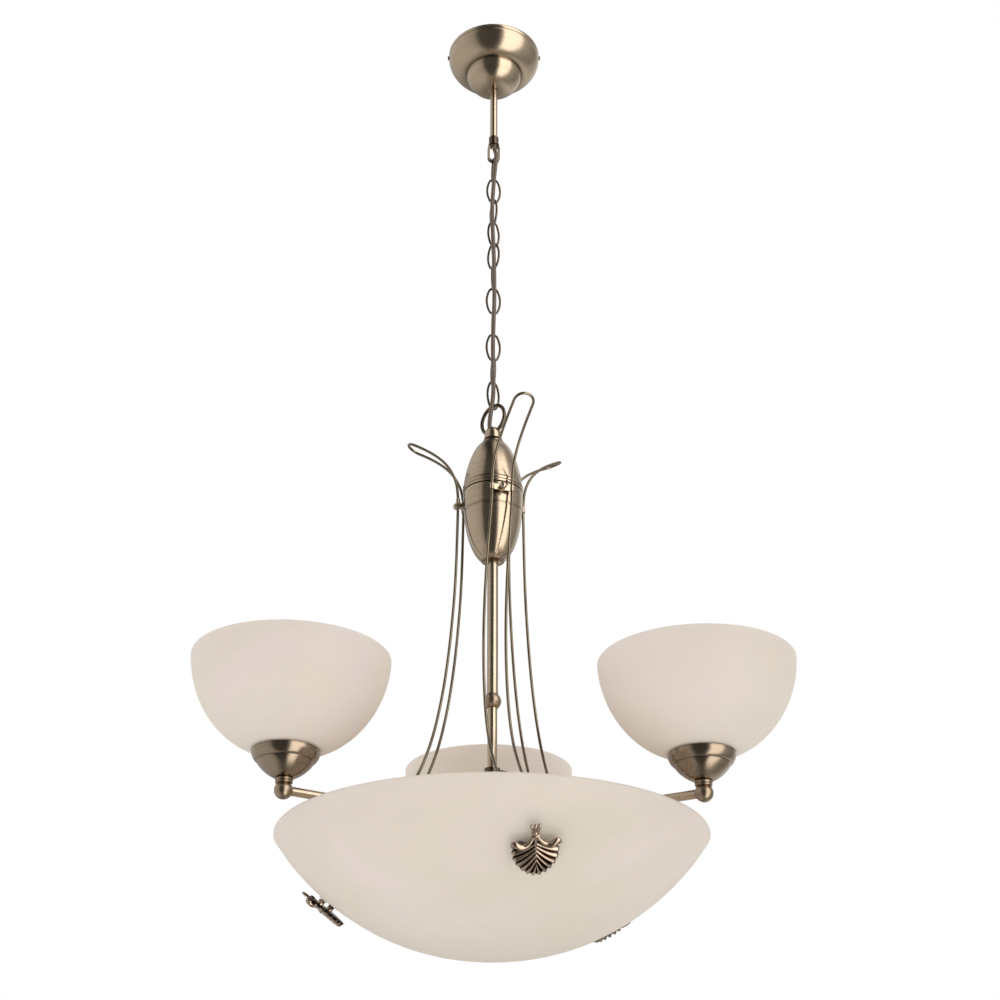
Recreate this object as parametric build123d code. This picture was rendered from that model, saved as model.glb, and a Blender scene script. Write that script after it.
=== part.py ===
from build123d import *
import math
import os

os.makedirs("parts", exist_ok=True)

# ---------------------------------------------------------------------------
# Alabaster bowl pendant: ceiling cup, drop tube, chain, egg body, three wire
# hairpins, three arms with small shades, and a large bowl.
# Millimetres, +Z up, origin in the ceiling plane on the axis.
# Heights called "zr" count from the rim plane of the bowl.
# ---------------------------------------------------------------------------
BOWL_RIM_Z = -1075.8      # rim plane of the bowl below the ceiling
BOWL_R = 225.0            # rim radius of the bowl
BOWL_D = 118.2            # depth of the bowl, outside
BOWL_T = 5.0              # glass thickness of the bowl
SHADE_R = 100.7           # rim radius of a small shade
SHADE_TOP = 151.5         # zr of a small shade's rim
SHADE_D = 101.2           # depth of a small shade, outside
SHADE_T = 4.0
ARM_R = 237.0             # axis of the pendant to the axis of a shade
ARM_Z = 14.3              # zr of the arm tubes
ARM_AZ = (91.3, 211.3, 331.3)
TUBE_R = 4.5              # arm tube
PIN_AZ = {"front": 286.0, "left": 166.0, "right": 46.0}      # hairpins at the egg
HOLE_AZ = {"front": 283.0, "left": 165.0, "right": 46.0}     # where their ends go through the glass
WIRE_R = 1.5              # hairpin wire
CANOPY_R = 60.4
CANOPY_H = 60.2
ROD_R = 4.8               # drop tube, outside
ROD_BORE = 3.4
CORD_R = 2.6
LINK_R = 1.25             # chain wire
LINK_HALF = 18.475        # centre line, half length
LINK_WIDE = 8.35          # centre line, half width
LINK_END = 5.6            # end arc of the centre line
PITCH = 34.1
LINK1_Z = -196.0
LINK_YAW = (104.0, 12.0, 118.0, 37.0, 144.0, 78.0, 12.0, 100.0, 16.0, 106.0, 37.0)
RING_R = 18.3             # suspension ring, centre line
RING_WIRE = 2.0
RING_Z = -570.15
RING_YAW = 136.0


def zr(v):
    return BOWL_RIM_Z + v


def out(shape, name):
    export_step(shape, "parts/%s.step" % name)
    return shape


def cyl(r, z0, z1, x=0.0, y=0.0):
    return Pos(x, y, (z0 + z1) / 2) * Cylinder(r, abs(z1 - z0))


def turned(pts, splines=()):
    """Solid of revolution about Z from a closed (r, z) outline.
    pts is a list of points; an entry that is itself a list is a spline."""
    edges = []
    last = None
    first = None
    for item in pts:
        if isinstance(item, list):
            if last is not None and (Vector(*last, 0) - Vector(*item[0], 0)).length > 1e-6:
                edges.append(Line((last[0], last[1]), (item[0][0], item[0][1])))
            edges.append(Spline(*[(a, b) for a, b in item]))
            if first is None:
                first = item[0]
            last = item[-1]
        else:
            if last is not None and (Vector(*last, 0) - Vector(*item, 0)).length > 1e-6:
                edges.append(Line((last[0], last[1]), (item[0], item[1])))
            if first is None:
                first = item
            last = item
    if (Vector(*last, 0) - Vector(*first, 0)).length > 1e-6:
        edges.append(Line((last[0], last[1]), (first[0], first[1])))
    f = make_face(Wire([e.edge() if hasattr(e, "edge") else e for e in edges]))
    f = Plane.XZ * f
    return revolve(f, Axis.Z, 360)


def rounded_path(pts, share=0.45, limit=400.0, radii=None):
    """Straight runs joined by tangent arcs."""
    P = [Vector(*p) for p in pts]
    edges = []
    cur = P[0]
    used = []
    for i in range(1, len(P) - 1):
        a, b, c = P[i - 1], P[i], P[i + 1]
        u = (a - b).normalized()
        v = (c - b).normalized()
        turn = math.pi - math.acos(max(-1, min(1, u.dot(v))))
        short = min((a - b).length, (c - b).length)
        r = share * short / math.tan(turn / 2)
        r = min(r, limit)
        if radii and radii.get(i):
            r = radii[i]
        t = r * math.tan(turn / 2)
        used.append(r)
        p1 = b + u * t
        p2 = b + v * t
        bis = (u + v).normalized()
        mid = b + bis * (r / math.cos(turn / 2) - r)
        if (p1 - cur).length > 1e-6:
            edges.append(Edge.make_line(cur, p1))
        edges.append(Edge.make_three_point_arc(p1, mid, p2))
        cur = p2
    edges.append(Edge.make_line(cur, P[-1]))
    return Wire(edges), used


def tube_along(wire, r):
    start = wire @ 0
    tan = wire % 0
    return sweep(Plane(origin=start, z_dir=tan) * Circle(r), path=wire)


def polar(az, r, z, t=0.0):
    a = math.radians(az)
    return (r * math.cos(a) - t * math.sin(a), r * math.sin(a) + t * math.cos(a), z)


def arc_curve(r0, z0, r1, z1, n, k=9, start=0.0):
    """Superelliptic quarter from (r0, z0), where it is upright, to (r1, z1), where it is level."""
    res = []
    for i in range(k):
        a = (start + (1 - start) * i / (k - 1)) * math.pi / 2
        ca = max(math.cos(a), 0.0) ** (2 / n)
        sa = math.sin(a) ** (2 / n)
        res.append((r1 + (r0 - r1) * ca, z0 + (z1 - z0) * sa))
    return res


# --------------------------------------------------------------- ceiling side
def crossbar():
    t = 2.0
    prof = [(-54, 0), (-30, 0), (-17, -24), (17, -24), (30, 0), (54, 0), (54, -12), (52, -12), (52, -t),
            (31.2, -t), (18.2, -26), (-18.2, -26), (-31.2, -t), (-52, -t), (-52, -12), (-54, -12)]
    f = make_face(Polyline(*prof, close=True))
    bar = extrude(Plane.XZ * f, 11, both=True)
    bar -= cyl(ROD_R + 0.05, -30, -20)
    for s in (-1, 1):
        bar -= Pos(s * 41, 0, -1) * extrude(SlotCenterToCenter(8, 5), 3, both=True)
        bar -= Pos(s * 53, 0, -4) * Rot(0, 90, 0) * Cylinder(2.05, 6)
    return bar


def hexnut(z0, z1, r_in, af):
    n = extrude(RegularPolygon(af / 2, 6, major_radius=False), z1 - z0)
    return Pos(0, 0, z0) * n - cyl(r_in, z0 - 1, z1 + 1)


out(crossbar(), "ceiling_crossbar")
out(Compound([hexnut(-24, -19, ROD_R + 0.02, 14), hexnut(-31, -26, ROD_R + 0.02, 14)]), "rod_lock_nuts")

rod = cyl(ROD_R, -157.2, -18.5) + cyl(5.3, -157.2, -155.75)
rod -= cyl(ROD_BORE, -160, -10)
rod -= Pos(0, 0, -156.3) * Cone(4.9, ROD_BORE, 2.4)
out(rod, "drop_rod")

tb = Pos(0, 0, -10) * Box(16, 21, 10)
for s in (-1, 1):
    tb += Pos(0, s * 9.5, -19.5) * Box(8, 2, 9)
tb -= cyl(CORD_R + 0.02, -16, -13.0)
for s in (-1, 1):
    tb -= Pos(s * 4, 0, -5) * Cylinder(1.6, 4)
    tb -= Pos(s * 4, 6, -5) * Cylinder(1.6, 4)
    tb -= Pos(s * 4, -6, -5) * Cylinder(1.6, 4)
out(tb, "canopy_terminal_block")

co = arc_curve(CANOPY_R, -6.5, 37.3, -33.0, 1.75, 9)
ci = arc_curve(CANOPY_R - 1.0, -6.5, 36.8, -32.0, 1.75, 9)
uo = arc_curve(36.4, -33.0, 7.0, -CANOPY_H, 2.0, 10)
ui = arc_curve(35.4, -32.6, 7.0, -CANOPY_H + 1.0, 2.0, 10)
canopy = turned([(CANOPY_R, -0.3), (CANOPY_R, -6.5), co, (36.4, -33.0), uo, (5.3, -CANOPY_H), (5.3, -CANOPY_H + 1.0),
                 list(reversed(ui)), (35.4, -32.0), list(reversed(ci)), (CANOPY_R - 1.0, -0.3)])
canopy -= Pos(0, 0, -4) * Rot(0, 90, 0) * Cylinder(2.15, 140)
out(canopy, "ceiling_canopy")

screws = []
for s in (-1, 1):
    sc = Pos(s * 56.2, 0, -4) * Rot(0, 90, 0) * Cylinder(2.0, 8.5)
    sc += Pos(s * 61.3, 0, -4) * Rot(0, 90, 0) * Cylinder(2.7, 1.7)
    sc -= Pos(s * 62.2, 0, -4) * Box(1.2, 0.8, 6)
    screws.append(sc)
out(Compound(screws), "canopy_screws")

out(turned([(ROD_R + 0.03, -141.9), (5.6, -141.9), (6.4, -142.9), (6.4, -144.6), (5.9, -145.1), (6.4, -145.6),
            (6.4, -152.7), (5.6, -153.7), (ROD_R + 0.03, -153.7)]), "rod_collar_nut")

# strip stirrup under the drop tube, closed loop with a flat bar at the bottom
SX, ST, SW = 7.7, 2.0, 2.6
S_TOP, S_BOT = -153.7, -182.0
ol = Pos(0, (S_TOP + S_BOT) / 2) * RectangleRounded(2 * SX, S_TOP - S_BOT, 5.5)
il = Pos(0, (S_TOP + S_BOT) / 2) * RectangleRounded(2 * SX - 2 * ST, S_TOP - S_BOT - 2 * ST, 3.5)
st = extrude(Plane.XZ * (ol - il), SW, both=True)
st += cyl(SX - 0.6, S_TOP - ST, S_TOP)
st -= cyl(ROD_R + 0.02, -160, -150)
st -= cyl(5.35, -157.5, S_TOP - ST)
out(Rot(0, 0, 14) * st, "hanger_stirrup")


# --------------------------------------------------------------- chain
def link():
    a, b, r1 = LINK_HALF, LINK_WIDE, LINK_END
    r2 = (b * b + (a - r1) ** 2 - r1 * r1) / (2 * (b - r1))
    # tangent points between end arc and side arc
    cx, cz = -(r2 - b), 0.0            # centre of the right side arc
    d = math.hypot(cx, a - r1)
    ux, uz = (0 - cx) / d, (a - r1) / d
    tx, tz = cx + ux * r2, uz * r2
    e1 = Edge.make_three_point_arc(Vector(tx, 0, -tz), Vector(b, 0, 0), Vector(tx, 0, tz))
    e2 = Edge.make_three_point_arc(Vector(tx, 0, tz), Vector(0, 0, a), Vector(-tx, 0, tz))
    e3 = Edge.make_three_point_arc(Vector(-tx, 0, tz), Vector(-b, 0, 0), Vector(-tx, 0, -tz))
    e4 = Edge.make_three_point_arc(Vector(-tx, 0, -tz), Vector(0, 0, -a), Vector(tx, 0, -tz))
    w = Wire([e1, e2, e3, e4])
    return tube_along(w, LINK_R), w.length


L0, llen = link()
print("link volume / section x length", L0.volume / (math.pi * LINK_R ** 2 * llen))
for i, yaw in enumerate(LINK_YAW):
    out(Pos(0, 0, LINK1_Z - PITCH * i) * Rot(0, 0, yaw) * L0, "chain_link_%02d" % (i + 1))

ring = Pos(0, 0, RING_Z) * Rot(0, 0, RING_YAW) * Rot(90, 0, 0) * Torus(RING_R, RING_WIRE)
out(ring, "suspension_ring")

# --------------------------------------------------------------- finial cap and egg
CAPX, CAPY = -4.2, -4.4         # where the cord enters the cap
cap = turned([(0, -581.8), [(0, -581.8), (4.0, -582.2), (7.4, -584.3), (9.5, -588.5), (10.3, -594.0), (10.6, -597.4)],
              (10.6, -598.0), (8.2, -598.0), (8.2, -589.5), [(8.2, -589.5), (7.2, -586.2), (4.0, -584.2), (0, -583.8)]])
cap -= Pos(0, 0, RING_Z) * Rot(0, 0, RING_YAW) * Rot(90, 0, 0) * Torus(RING_R, RING_WIRE + 0.35)
cap -= cyl(3.1, -592, -575, CAPX, CAPY)
out(cap, "finial_cap")

bush = cyl(8.17, -620, -592.6) + cyl(13.0, -604.8, -602.9)
bush -= cyl(6.17, -625, -590)
bush -= Pos(0, 0, -594.6) * Cone(6.1, 7.05, 4.2)
out(bush, "egg_top_bushing")

EG_TOP, EG_SEAM, EG_BOT = -604.3, -670.4, -756.4
RS = 34.67


def egg_up(u):
    return 12.5 + (RS - 12.5) * (1 - (1 - u) ** 1.61) ** (1 / 1.61)


def egg_lo(z):
    u = (EG_SEAM - z) / 88.25
    return 4.55 + (RS - 4.55) * (1 - u ** 2.09) ** (1 / 2.09)


us = (0.012, 0.04, 0.09, 0.16, 0.26, 0.38, 0.52, 0.68, 0.84, 0.995)
upo = [(egg_up(u), EG_TOP + (EG_SEAM - EG_TOP) * u) for u in us]
upi = [(egg_up(u) - 1.2 - 1.6 * max(0, 0.16 - u), EG_TOP + (EG_SEAM - EG_TOP) * u) for u in us[2:]]
upo[-1] = (RS, EG_SEAM + 0.25)
upi[-1] = (RS - 1.2, EG_SEAM + 0.25)
upper = turned([(8.4, -601.6), (10.9, -601.6), [(10.9, -601.6), (13.4, -602.7)] + upo, list(reversed(upi)),
                (13.2, -603.0 - 1.9), (13.2, -602.85), (8.4, -602.85)])
bead = turned([(egg_up(0.86) - 0.8, -662.5), (egg_up(0.89) + 0.75, -663.0), (egg_up(0.92) + 0.75, -664.4),
               (egg_up(0.93) - 0.7, -665.0)])
upper = upper + bead
out(upper, "egg_upper_shell")

zs = [EG_SEAM - 0.25, -676, -684, -694, -705, -716, -727, -737, -746, -752.5]
loo = [(egg_lo(z), z) for z in zs]
loo[0] = (RS, zs[0])
loi = [(r - 1.2 - (0.25 if z < -740 else 0), z + (0.0 if z > -740 else 0.6)) for r, z in loo]
lower = turned([(RS, EG_SEAM - 0.25), loo[:], (12.4, -756.6), (11.4, -757.2), (6.2, -750.6), (6.2, -749.0),
                (10.9, -754.6), list(reversed(loi[1:])), (32.25, -675.0), (32.25, -666.6), (33.25, -666.6), (33.25, EG_SEAM - 0.25)])
for az in PIN_AZ.values():
    lower -= Rot(0, 0, az) * Pos(34, 0, zr(395.0)) * Rot(0, 90, 0) * Cylinder(2.05, 8)
out(lower, "egg_lower_shell")

# --------------------------------------------------------------- hairpins
PIN = [(83.0, 60.0), (65.0, 102.0), (54.0, 150.0), (47.0, 200.0), (42.6, 250.0), (39.6, 300.0), (38.35, 382.0),
       (38.35, 404.0), (42.2, 427.0), (55.0, 449.5), (77.5, 468.5), (103.0, 483.0)]
# sideways lean of each hairpin at those points, as it is sprung between the egg and the glass
LEAN = {"front": (-11.0, -12.0, -12.0, -11.0, -9.0, -6.0, 0.0, 0.0, 0.8, 4.0, 7.5, 10.5),
        "left": (0.0, 0.0, 0.0, 0.0, 0.0, 0.0, 0.0, 0.0, 0.0, 0.0, 0.0, 0.0),
        "right": (0.0, 0.0, 0.0, 0.0, 0.0, 0.0, 0.0, 0.0, -0.6, -3.0, -6.0, -9.0)}


def bowl_z(r):
    return -BOWL_D * (1 - (min(r, BOWL_R) / BOWL_R) ** 2.193) ** (1 / 1.151)


HOLE_R = 178.0
HOLE_Z = bowl_z(HOLE_R)
slope = (bowl_z(HOLE_R + 1) - bowl_z(HOLE_R - 1)) / 2
NRM = (slope / math.hypot(slope, 1), -1 / math.hypot(slope, 1))   # outward normal (r, z)
HW = 13.5                                                          # half spacing at the glass
HOLE_X = math.sqrt(HOLE_R ** 2 - HW ** 2)


def half_w(z):
    return min(13.0, (24.1 - 2.0 * (z - 300) / 300) / 2)


def pin_points(name, s):
    az = PIN_AZ[name]
    end = (HOLE_X + NRM[0] * 7.0, HOLE_Z + NRM[1] * 7.0)
    inn = (HOLE_X - NRM[0] * 26.0, HOLE_Z - NRM[1] * 26.0)
    pts = [polar(HOLE_AZ[name], end[0], zr(end[1]), s * HW), polar(HOLE_AZ[name], inn[0], zr(inn[1]), s * HW)]
    for (r, z), t in zip(PIN, LEAN[name]):
        pts.append(polar(az, r, zr(z), t + s * half_w(z)))
    return pts


def hairpin(name):
    a = pin_points(name, -1)
    b = pin_points(name, 1)
    pts = a + list(reversed(b))
    # U bend at the tip: two right angles
    n = len(a)
    w = half_w(PIN[-1][1])
    rad = {n - 1: w * 0.985, n: w * 0.985}
    wire, used = rounded_path(pts, radii=rad, limit=600.0)
    return tube_along(wire, WIRE_R), wire.length, used


for name in PIN_AZ:
    sh, ln, used = hairpin(name)
    print("hairpin", name, "volume ratio", sh.volume / (math.pi * WIRE_R ** 2 * ln), "valid", sh.is_valid,
          "least radius", min(used))
    out(sh, "hairpin_%s" % name)

# clips that hold the hairpins on the egg, and their ball-headed screws
CLIP_Z = 395.0
clips, studs = [], []
for name, az in PIN_AZ.items():
    w = half_w(CLIP_Z)
    a = half_w(382.0) + (half_w(404.0) - half_w(382.0)) * (CLIP_Z - 382.0) / 22.0
    plate = Pos(38.35, 0, 0) * Box(1.4, 2 * a - 3.4, 7.0)
    for s in (-1, 1):
        plate += Pos(38.35, s * a, 0) * Cylinder(2.5, 7.0)
    for s in (-1, 1):
        plate -= Pos(38.35, s * a, 0) * Cylinder(WIRE_R + 0.12, 9.0)
    plate -= Pos(38.35, 0, 0) * Rot(0, 90, 0) * Cylinder(2.03, 6)
    clips.append(Rot(0, 0, az) * Pos(0, 0, zr(CLIP_Z)) * plate)
    stud = Pos(34.0, 0, 0) * Rot(0, 90, 0) * Cylinder(2.0, 12.0)
    stud += Pos(36.2, 0, 0) * Rot(0, 90, 0) * Cylinder(3.2, 2.7)
    stud += Pos(43.2, 0, 0) * Sphere(4.3)
    stud += Pos(39.7, 0, 0) * Rot(0, 90, 0) * Cylinder(2.8, 1.1)
    stud += Pos(31.0, 0, 0) * Rot(0, 90, 0) * Cylinder(3.4, 2.4)
    studs.append(Rot(0, 0, az) * Pos(0, 0, zr(CLIP_Z)) * stud)

out(Compound(clips), "hairpin_clips")
out(Compound(studs), "clip_ball_screws")

# --------------------------------------------------------------- centre rod and hub
BALL_Z = zr(152.0)
out(cyl(6.15, BALL_Z + 4.8, -606.5) - cyl(4.25, BALL_Z, -600), "upper_rod")
ball = Pos(0, 0, BALL_Z) * Sphere(9.6)
ball -= cyl(4.25, BALL_Z - 12, BALL_Z + 12)
ball -= cyl(6.17, BALL_Z + 4.8, BALL_Z + 12)
ball -= cyl(5.32, BALL_Z - 12, BALL_Z - 4.8)
out(ball, "centre_ball")
LOW_END = zr(32.0)
out(cyl(5.3, LOW_END, BALL_Z - 4.8) - cyl(3.9, LOW_END - 1, BALL_Z), "lower_rod")

hub = turned([(5.32, zr(40.0)), (9.0, zr(40.0)), (9.8, zr(39.0)), (9.8, zr(34.0)), (21.5, zr(34.0)), (23.5, zr(32.0)), (23.5, zr(5.0)),
              (21.0, zr(5.0)), (21.0, zr(30.0)), (5.32, zr(30.0))])
for az in ARM_AZ:
    hub -= Rot(0, 0, az) * Pos(22, 0, zr(ARM_Z)) * Rot(0, 90, 0) * Cylinder(TUBE_R + 0.03, 8)
out(hub, "hub_body")
out(turned([(0, zr(0.5)), (14.0, zr(1.2)), (23.5, zr(3.2)), (23.5, zr(5.0)), (20.95, zr(5.0)), (20.95, zr(8.0)), (19.5, zr(8.0)),
            (19.5, zr(5.0)), (0, zr(3.0))]), "hub_cover")
ht = Pos(0, 0, zr(24.0)) * Box(16, 14, 12)
ht -= cyl(CORD_R + 0.03, zr(27.0), zr(31.0))
for x in (-5.0, 5.0):
    for y in (-4.5, 0.0, 4.5):
        ht -= Pos(x, y, zr(18.5)) * Cylinder(1.3, 4)
out(ht, "hub_terminal_block")

# --------------------------------------------------------------- arms, cups and small shades
g_out = [(r, z) for r, z in ((0.0, SHADE_TOP - SHADE_D),)]


def shade_z(r, off=0.0):
    R = SHADE_R - off
    return SHADE_TOP - (SHADE_D - off) * (1 - (min(r, R) / R) ** 2.25) ** (1 / 1.85)


def shade_profile(hole):
    ro = [hole, 28, 38, 48, 58, 67, 75.5, 83, 89.3, 94.2, 97.8, 100.0]
    po = [(r, shade_z(r)) for r in ro] + [(SHADE_R, SHADE_TOP - 1.6)]
    ri = [hole, 28, 38, 48, 57, 65.5, 73.5, 80.5, 86.3, 91.0, 94.4, 96.2]
    pi_ = [(r, shade_z(r, SHADE_T)) for r in ri] + [(SHADE_R - SHADE_T, SHADE_TOP - 1.6)]
    return po, pi_


for i, az in enumerate(ARM_AZ):
    tag = "_%d" % (i + 1)
    R = Rot(0, 0, az)
    C = R * Pos(ARM_R, 0, 0)
    tube = Pos((20.8 + ARM_R - 5.2) / 2, 0, zr(ARM_Z)) * Rot(0, 90, 0) * (Cylinder(TUBE_R, ARM_R - 5.2 - 20.8) - Cylinder(3.3, 400))
    out(R * tube, "arm_tube" + tag)
    # ball with ridged neck and the threaded nipple that carries cup and lamp holder
    b = Pos(0, 0, zr(ARM_Z)) * Sphere(8.7)
    neck = turned([(0, zr(20.0)), (7.0, zr(20.0)), (8.4, zr(21.2)), (8.7, zr(22.2)), (8.0, zr(23.1)), (8.6, zr(23.6)), (9.1, zr(24.8)),
                   (8.8, zr(25.9)), (8.1, zr(26.6)), (4.8, zr(26.6)), (4.8, zr(41.0)), (0, zr(41.0))])
    b = b + neck
    b -= cyl(3.2, zr(ARM_Z), zr(45.0))
    b -= Pos(-7.2, 0, zr(ARM_Z)) * Rot(0, 90, 0) * Cylinder(TUBE_R + 0.02, 4.0)
    b -= Pos(-4, 0, zr(ARM_Z)) * Rot(0, 90, 0) * Cylinder(3.2, 8.0)
    out(C * b, "arm_ball" + tag)
    c1 = arc_curve(34.2, zr(53.6), 29.4, zr(44.6), 1.7, 7)
    c2 = arc_curve(26.8, zr(44.6), 9.0, zr(26.6), 1.8, 9)
    d1 = arc_curve(33.2, zr(53.6), 28.9, zr(45.6), 1.7, 7)
    d2 = arc_curve(25.8, zr(45.0), 9.0, zr(27.6), 1.8, 9)
    cup = turned([(33.2, zr(54.0)), (34.2, zr(54.0)), (34.2, zr(53.6)), c1, (26.8, zr(44.6)), c2, (4.85, zr(26.6)), (4.85, zr(27.6)),
                  list(reversed(d2)), (25.8, zr(45.6)), list(reversed(d1))])
    out(C * cup, "shade_cup" + tag)
    # lamp holder: base, shoulder under the glass, threaded barrel through the glass
    h = turned([(0, zr(27.6)), (9.0, zr(27.6)), (13.0, zr(28.8)), (14.5, zr(30.2)), (14.5, zr(38.0)), (19.9, zr(42.0)), (19.9, zr(48.6)), (23.4, zr(49.4)),
                (23.4, zr(51.75)), (19.9, zr(51.75)), (19.9, zr(72.0)), (18.6, zr(73.0)), (13.3, zr(73.0)), (13.3, zr(47.0)), (0, zr(47.0))])
    h -= cyl(4.87, zr(27.0), zr(41.2))
    h -= cyl(3.0, zr(41.0), zr(48.0))
    out(C * h, "shade_lampholder" + tag)
    po, pi_ = shade_profile(20.4)
    g = turned([po[0], po, (SHADE_R - 0.6, SHADE_TOP - 0.4), (SHADE_R - 1.6, SHADE_TOP), (SHADE_R - SHADE_T + 1.6, SHADE_TOP),
                (SHADE_R - SHADE_T + 0.6, SHADE_TOP - 0.4), list(reversed(pi_)), pi_[0]])
    g = Pos(0, 0, BOWL_RIM_Z) * g
    out(C * g, "shade_glass" + tag)

rings = []
zt = shade_z(26.0, SHADE_T) 
for az in ARM_AZ:
    rg = turned([(19.93, zr(57.3)), (26.5, zr(57.3)), (26.5, zr(61.4)), (25.6, zr(62.4)), (19.93, zr(62.4))])
    for k in range(24):
        rg -= Rot(0, 0, 15 * k) * Pos(26.9, 0, zr(60.5)) * Box(1.0, 1.6, 6)
    rings.append(Rot(0, 0, az) * Pos(ARM_R, 0, 0) * rg)
out(Compound(rings), "shade_clamp_rings")
print("shade outside at r 20.4, 23.4", shade_z(20.4), shade_z(23.4), "inside at 20.4, 26.5", shade_z(20.4, SHADE_T), shade_z(26.5, SHADE_T))

# --------------------------------------------------------------- bowl
ro = [0, 25, 50, 75, 100, 122, 142, 160, 176, 190, 202, 211.5, 218.5, 222.8]
bo = [(r, bowl_z(r)) for r in ro] + [(BOWL_R, -2.0)]


def bowl_in(r):
    Ri = BOWL_R - BOWL_T
    return -(BOWL_D - BOWL_T) * (1 - (min(r, Ri) / Ri) ** 2.193) ** (1 / 1.151)


ri = [0, 25, 50, 75, 100, 121, 140, 157, 172.5, 186, 197.5, 206.5, 213.3, 217.6]
bi = [(r, bowl_in(r)) for r in ri] + [(BOWL_R - BOWL_T, -2.0)]
bowl = turned([bo[0], bo, (BOWL_R - 0.6, -0.6), (BOWL_R - 1.8, 0), (BOWL_R - BOWL_T + 1.8, 0), (BOWL_R - BOWL_T + 0.6, -0.6),
               list(reversed(bi)), bi[0]])
bowl = Pos(0, 0, BOWL_RIM_Z) * bowl
ang = math.degrees(math.atan2(NRM[0], -NRM[1]))     # tilt of the wall at the holes


def at_hole(az, s, shape, square=False):
    """Places a shape whose +Z is the outward normal, origin on the outer face of the wall.
    square turns it to the wall's own normal at that hole."""
    if square:
        da = math.degrees(math.asin(s / HOLE_R))
        return Rot(0, 0, az + da) * Pos(HOLE_R, 0, zr(HOLE_Z)) * Rot(0, 180 - ang, 0) * shape
    return Rot(0, 0, az) * Pos(HOLE_X, s, zr(HOLE_Z)) * Rot(0, 180 - ang, 0) * shape


for az in HOLE_AZ.values():
    for s in (-HW, HW):
        bowl -= at_hole(az, s, Cylinder(3.0, 30))
out(bowl, "bowl_glass")
print("wall at the holes", HOLE_Z, "normal", NRM)


# thickness of the wall along its normal at the holes
WT = 0.0
while bowl_in(HOLE_R - NRM[0] * WT) > HOLE_Z - NRM[1] * WT and WT < 20:
    WT += 0.01
print("wall thickness along the normal", round(WT, 2))

# --------------------------------------------------------------- shell ornaments
HALF = [(-28.7, 3.2), (-27.5, 5.0), (-24.0, 3.9), (-19.5, 3.1), (-17.2, 4.6), (-15.6, 10.0), (-15.2, 16.0), (-12.6, 21.5),
        (-8.2, 24.0), (-4.6, 22.4), (-2.6, 20.6), (1.4, 22.0), (4.2, 20.2), (5.2, 18.4), (9.4, 19.0), (11.8, 16.6), (12.4, 14.8),
        (16.6, 14.6), (18.6, 11.6), (19.0, 9.8), (22.8, 8.8), (24.4, 5.4), (24.4, 4.2), (26.6, 2.4), (27.0, 0.0)]


def shell():
    pts = [(x, y) for x, y in HALF] + [(x, -y) for x, y in reversed(HALF[:-1])]
    plate = extrude(make_face(Polyline(*pts, close=True)), 3.0)
    plate = Pos(0, 0, 6.2) * plate
    # ribs fan out from the centre line towards the edge
    for x0, x1, y1 in ((-13.0, -9.5, 21.0), (-9.0, -0.5, 19.6), (-4.5, 6.4, 17.2), (0.5, 13.0, 13.6), (6.0, 19.4, 8.4)):
        for s in (-1, 1):
            a = Vector(x0, s * 1.6, 9.2)
            b = Vector(x1, s * y1, 9.2)
            d = (b - a)
            rib = Plane(origin=a, z_dir=d) * (Pos(0, 0, d.length / 2) * Cylinder(1.5, d.length))
            plate += rib
    spine = Plane(origin=Vector(-26.0, 0, 9.2), z_dir=Vector(1, 0, 0)) * (Pos(0, 0, 24.0) * Cylinder(1.8, 48.0))
    plate += spine
    for s in (-1, 1):
        plate += Pos(0, s * HW, 4.05) * Cylinder(3.6, 4.9)
        plate -= Pos(0, s * HW, 3.6) * Cylinder(WIRE_R + 0.04, 7.4)
    return plate


SH = shell()
print("shell solids", len(SH.solids()), "volume", SH.volume)
for name, az in HOLE_AZ.items():
    out(at_hole(az, 0, SH), "shell_ornament_%s" % name)

ws = []
for az in HOLE_AZ.values():
    for s in (-HW, HW):
        for z0 in (0.08, -WT - 1.3):
            w = Cylinder(5.0, 1.1) - Cylinder(WIRE_R + 0.45, 3)
            ws.append(at_hole(az, s, Pos(0, 0, z0 + 0.55) * w, square=True))
out(Compound(ws), "glass_washers")

# --------------------------------------------------------------- lamp bracket and holders inside the bowl
LAMP_AZ = (35.0, 155.0)
LEG_Z = (74.0, 56.0)
LAMP_Z = -26.0
br = cyl(8.6, zr(50.0), zr(76.0))
for az, top in zip(LAMP_AZ, LEG_Z):
    leg = Pos(19.5, 0, zr(top - 1)) * Box(27.0, 16, 2)
    leg += Pos(32, 0, zr((top + LAMP_Z - 12) / 2)) * Box(2, 16, top - LAMP_Z + 12)
    leg -= Pos(32, 0, zr(LAMP_Z)) * Rot(0, 90, 0) * Cylinder(4.85, 6)
    br += Rot(0, 0, az) * leg
br -= cyl(5.33, zr(40), zr(80))
out(br, "bowl_lamp_bracket")
for i, az in enumerate(LAMP_AZ):
    h = turned([(0, 0.0), (13.0, 0.0), (14.5, 1.4), (14.5, 10.4), (19.9, 14.4), (19.9, 44.0), (18.6, 45.0), (13.3, 45.0), (13.3, 19.0), (0, 19.0)])
    h += cyl(4.8, -8.0, 0.0)
    h += Pos(0, 0, -7.0) * extrude(RegularPolygon(7.0, 6, major_radius=False), 4.9)
    h -= cyl(3.0, -9.0, 20.0)
    out(Rot(0, 0, az) * Pos(33.05, 0, zr(LAMP_Z)) * Rot(0, 90, 0) * h, "bowl_lampholder_%d" % (i + 1))

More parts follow.
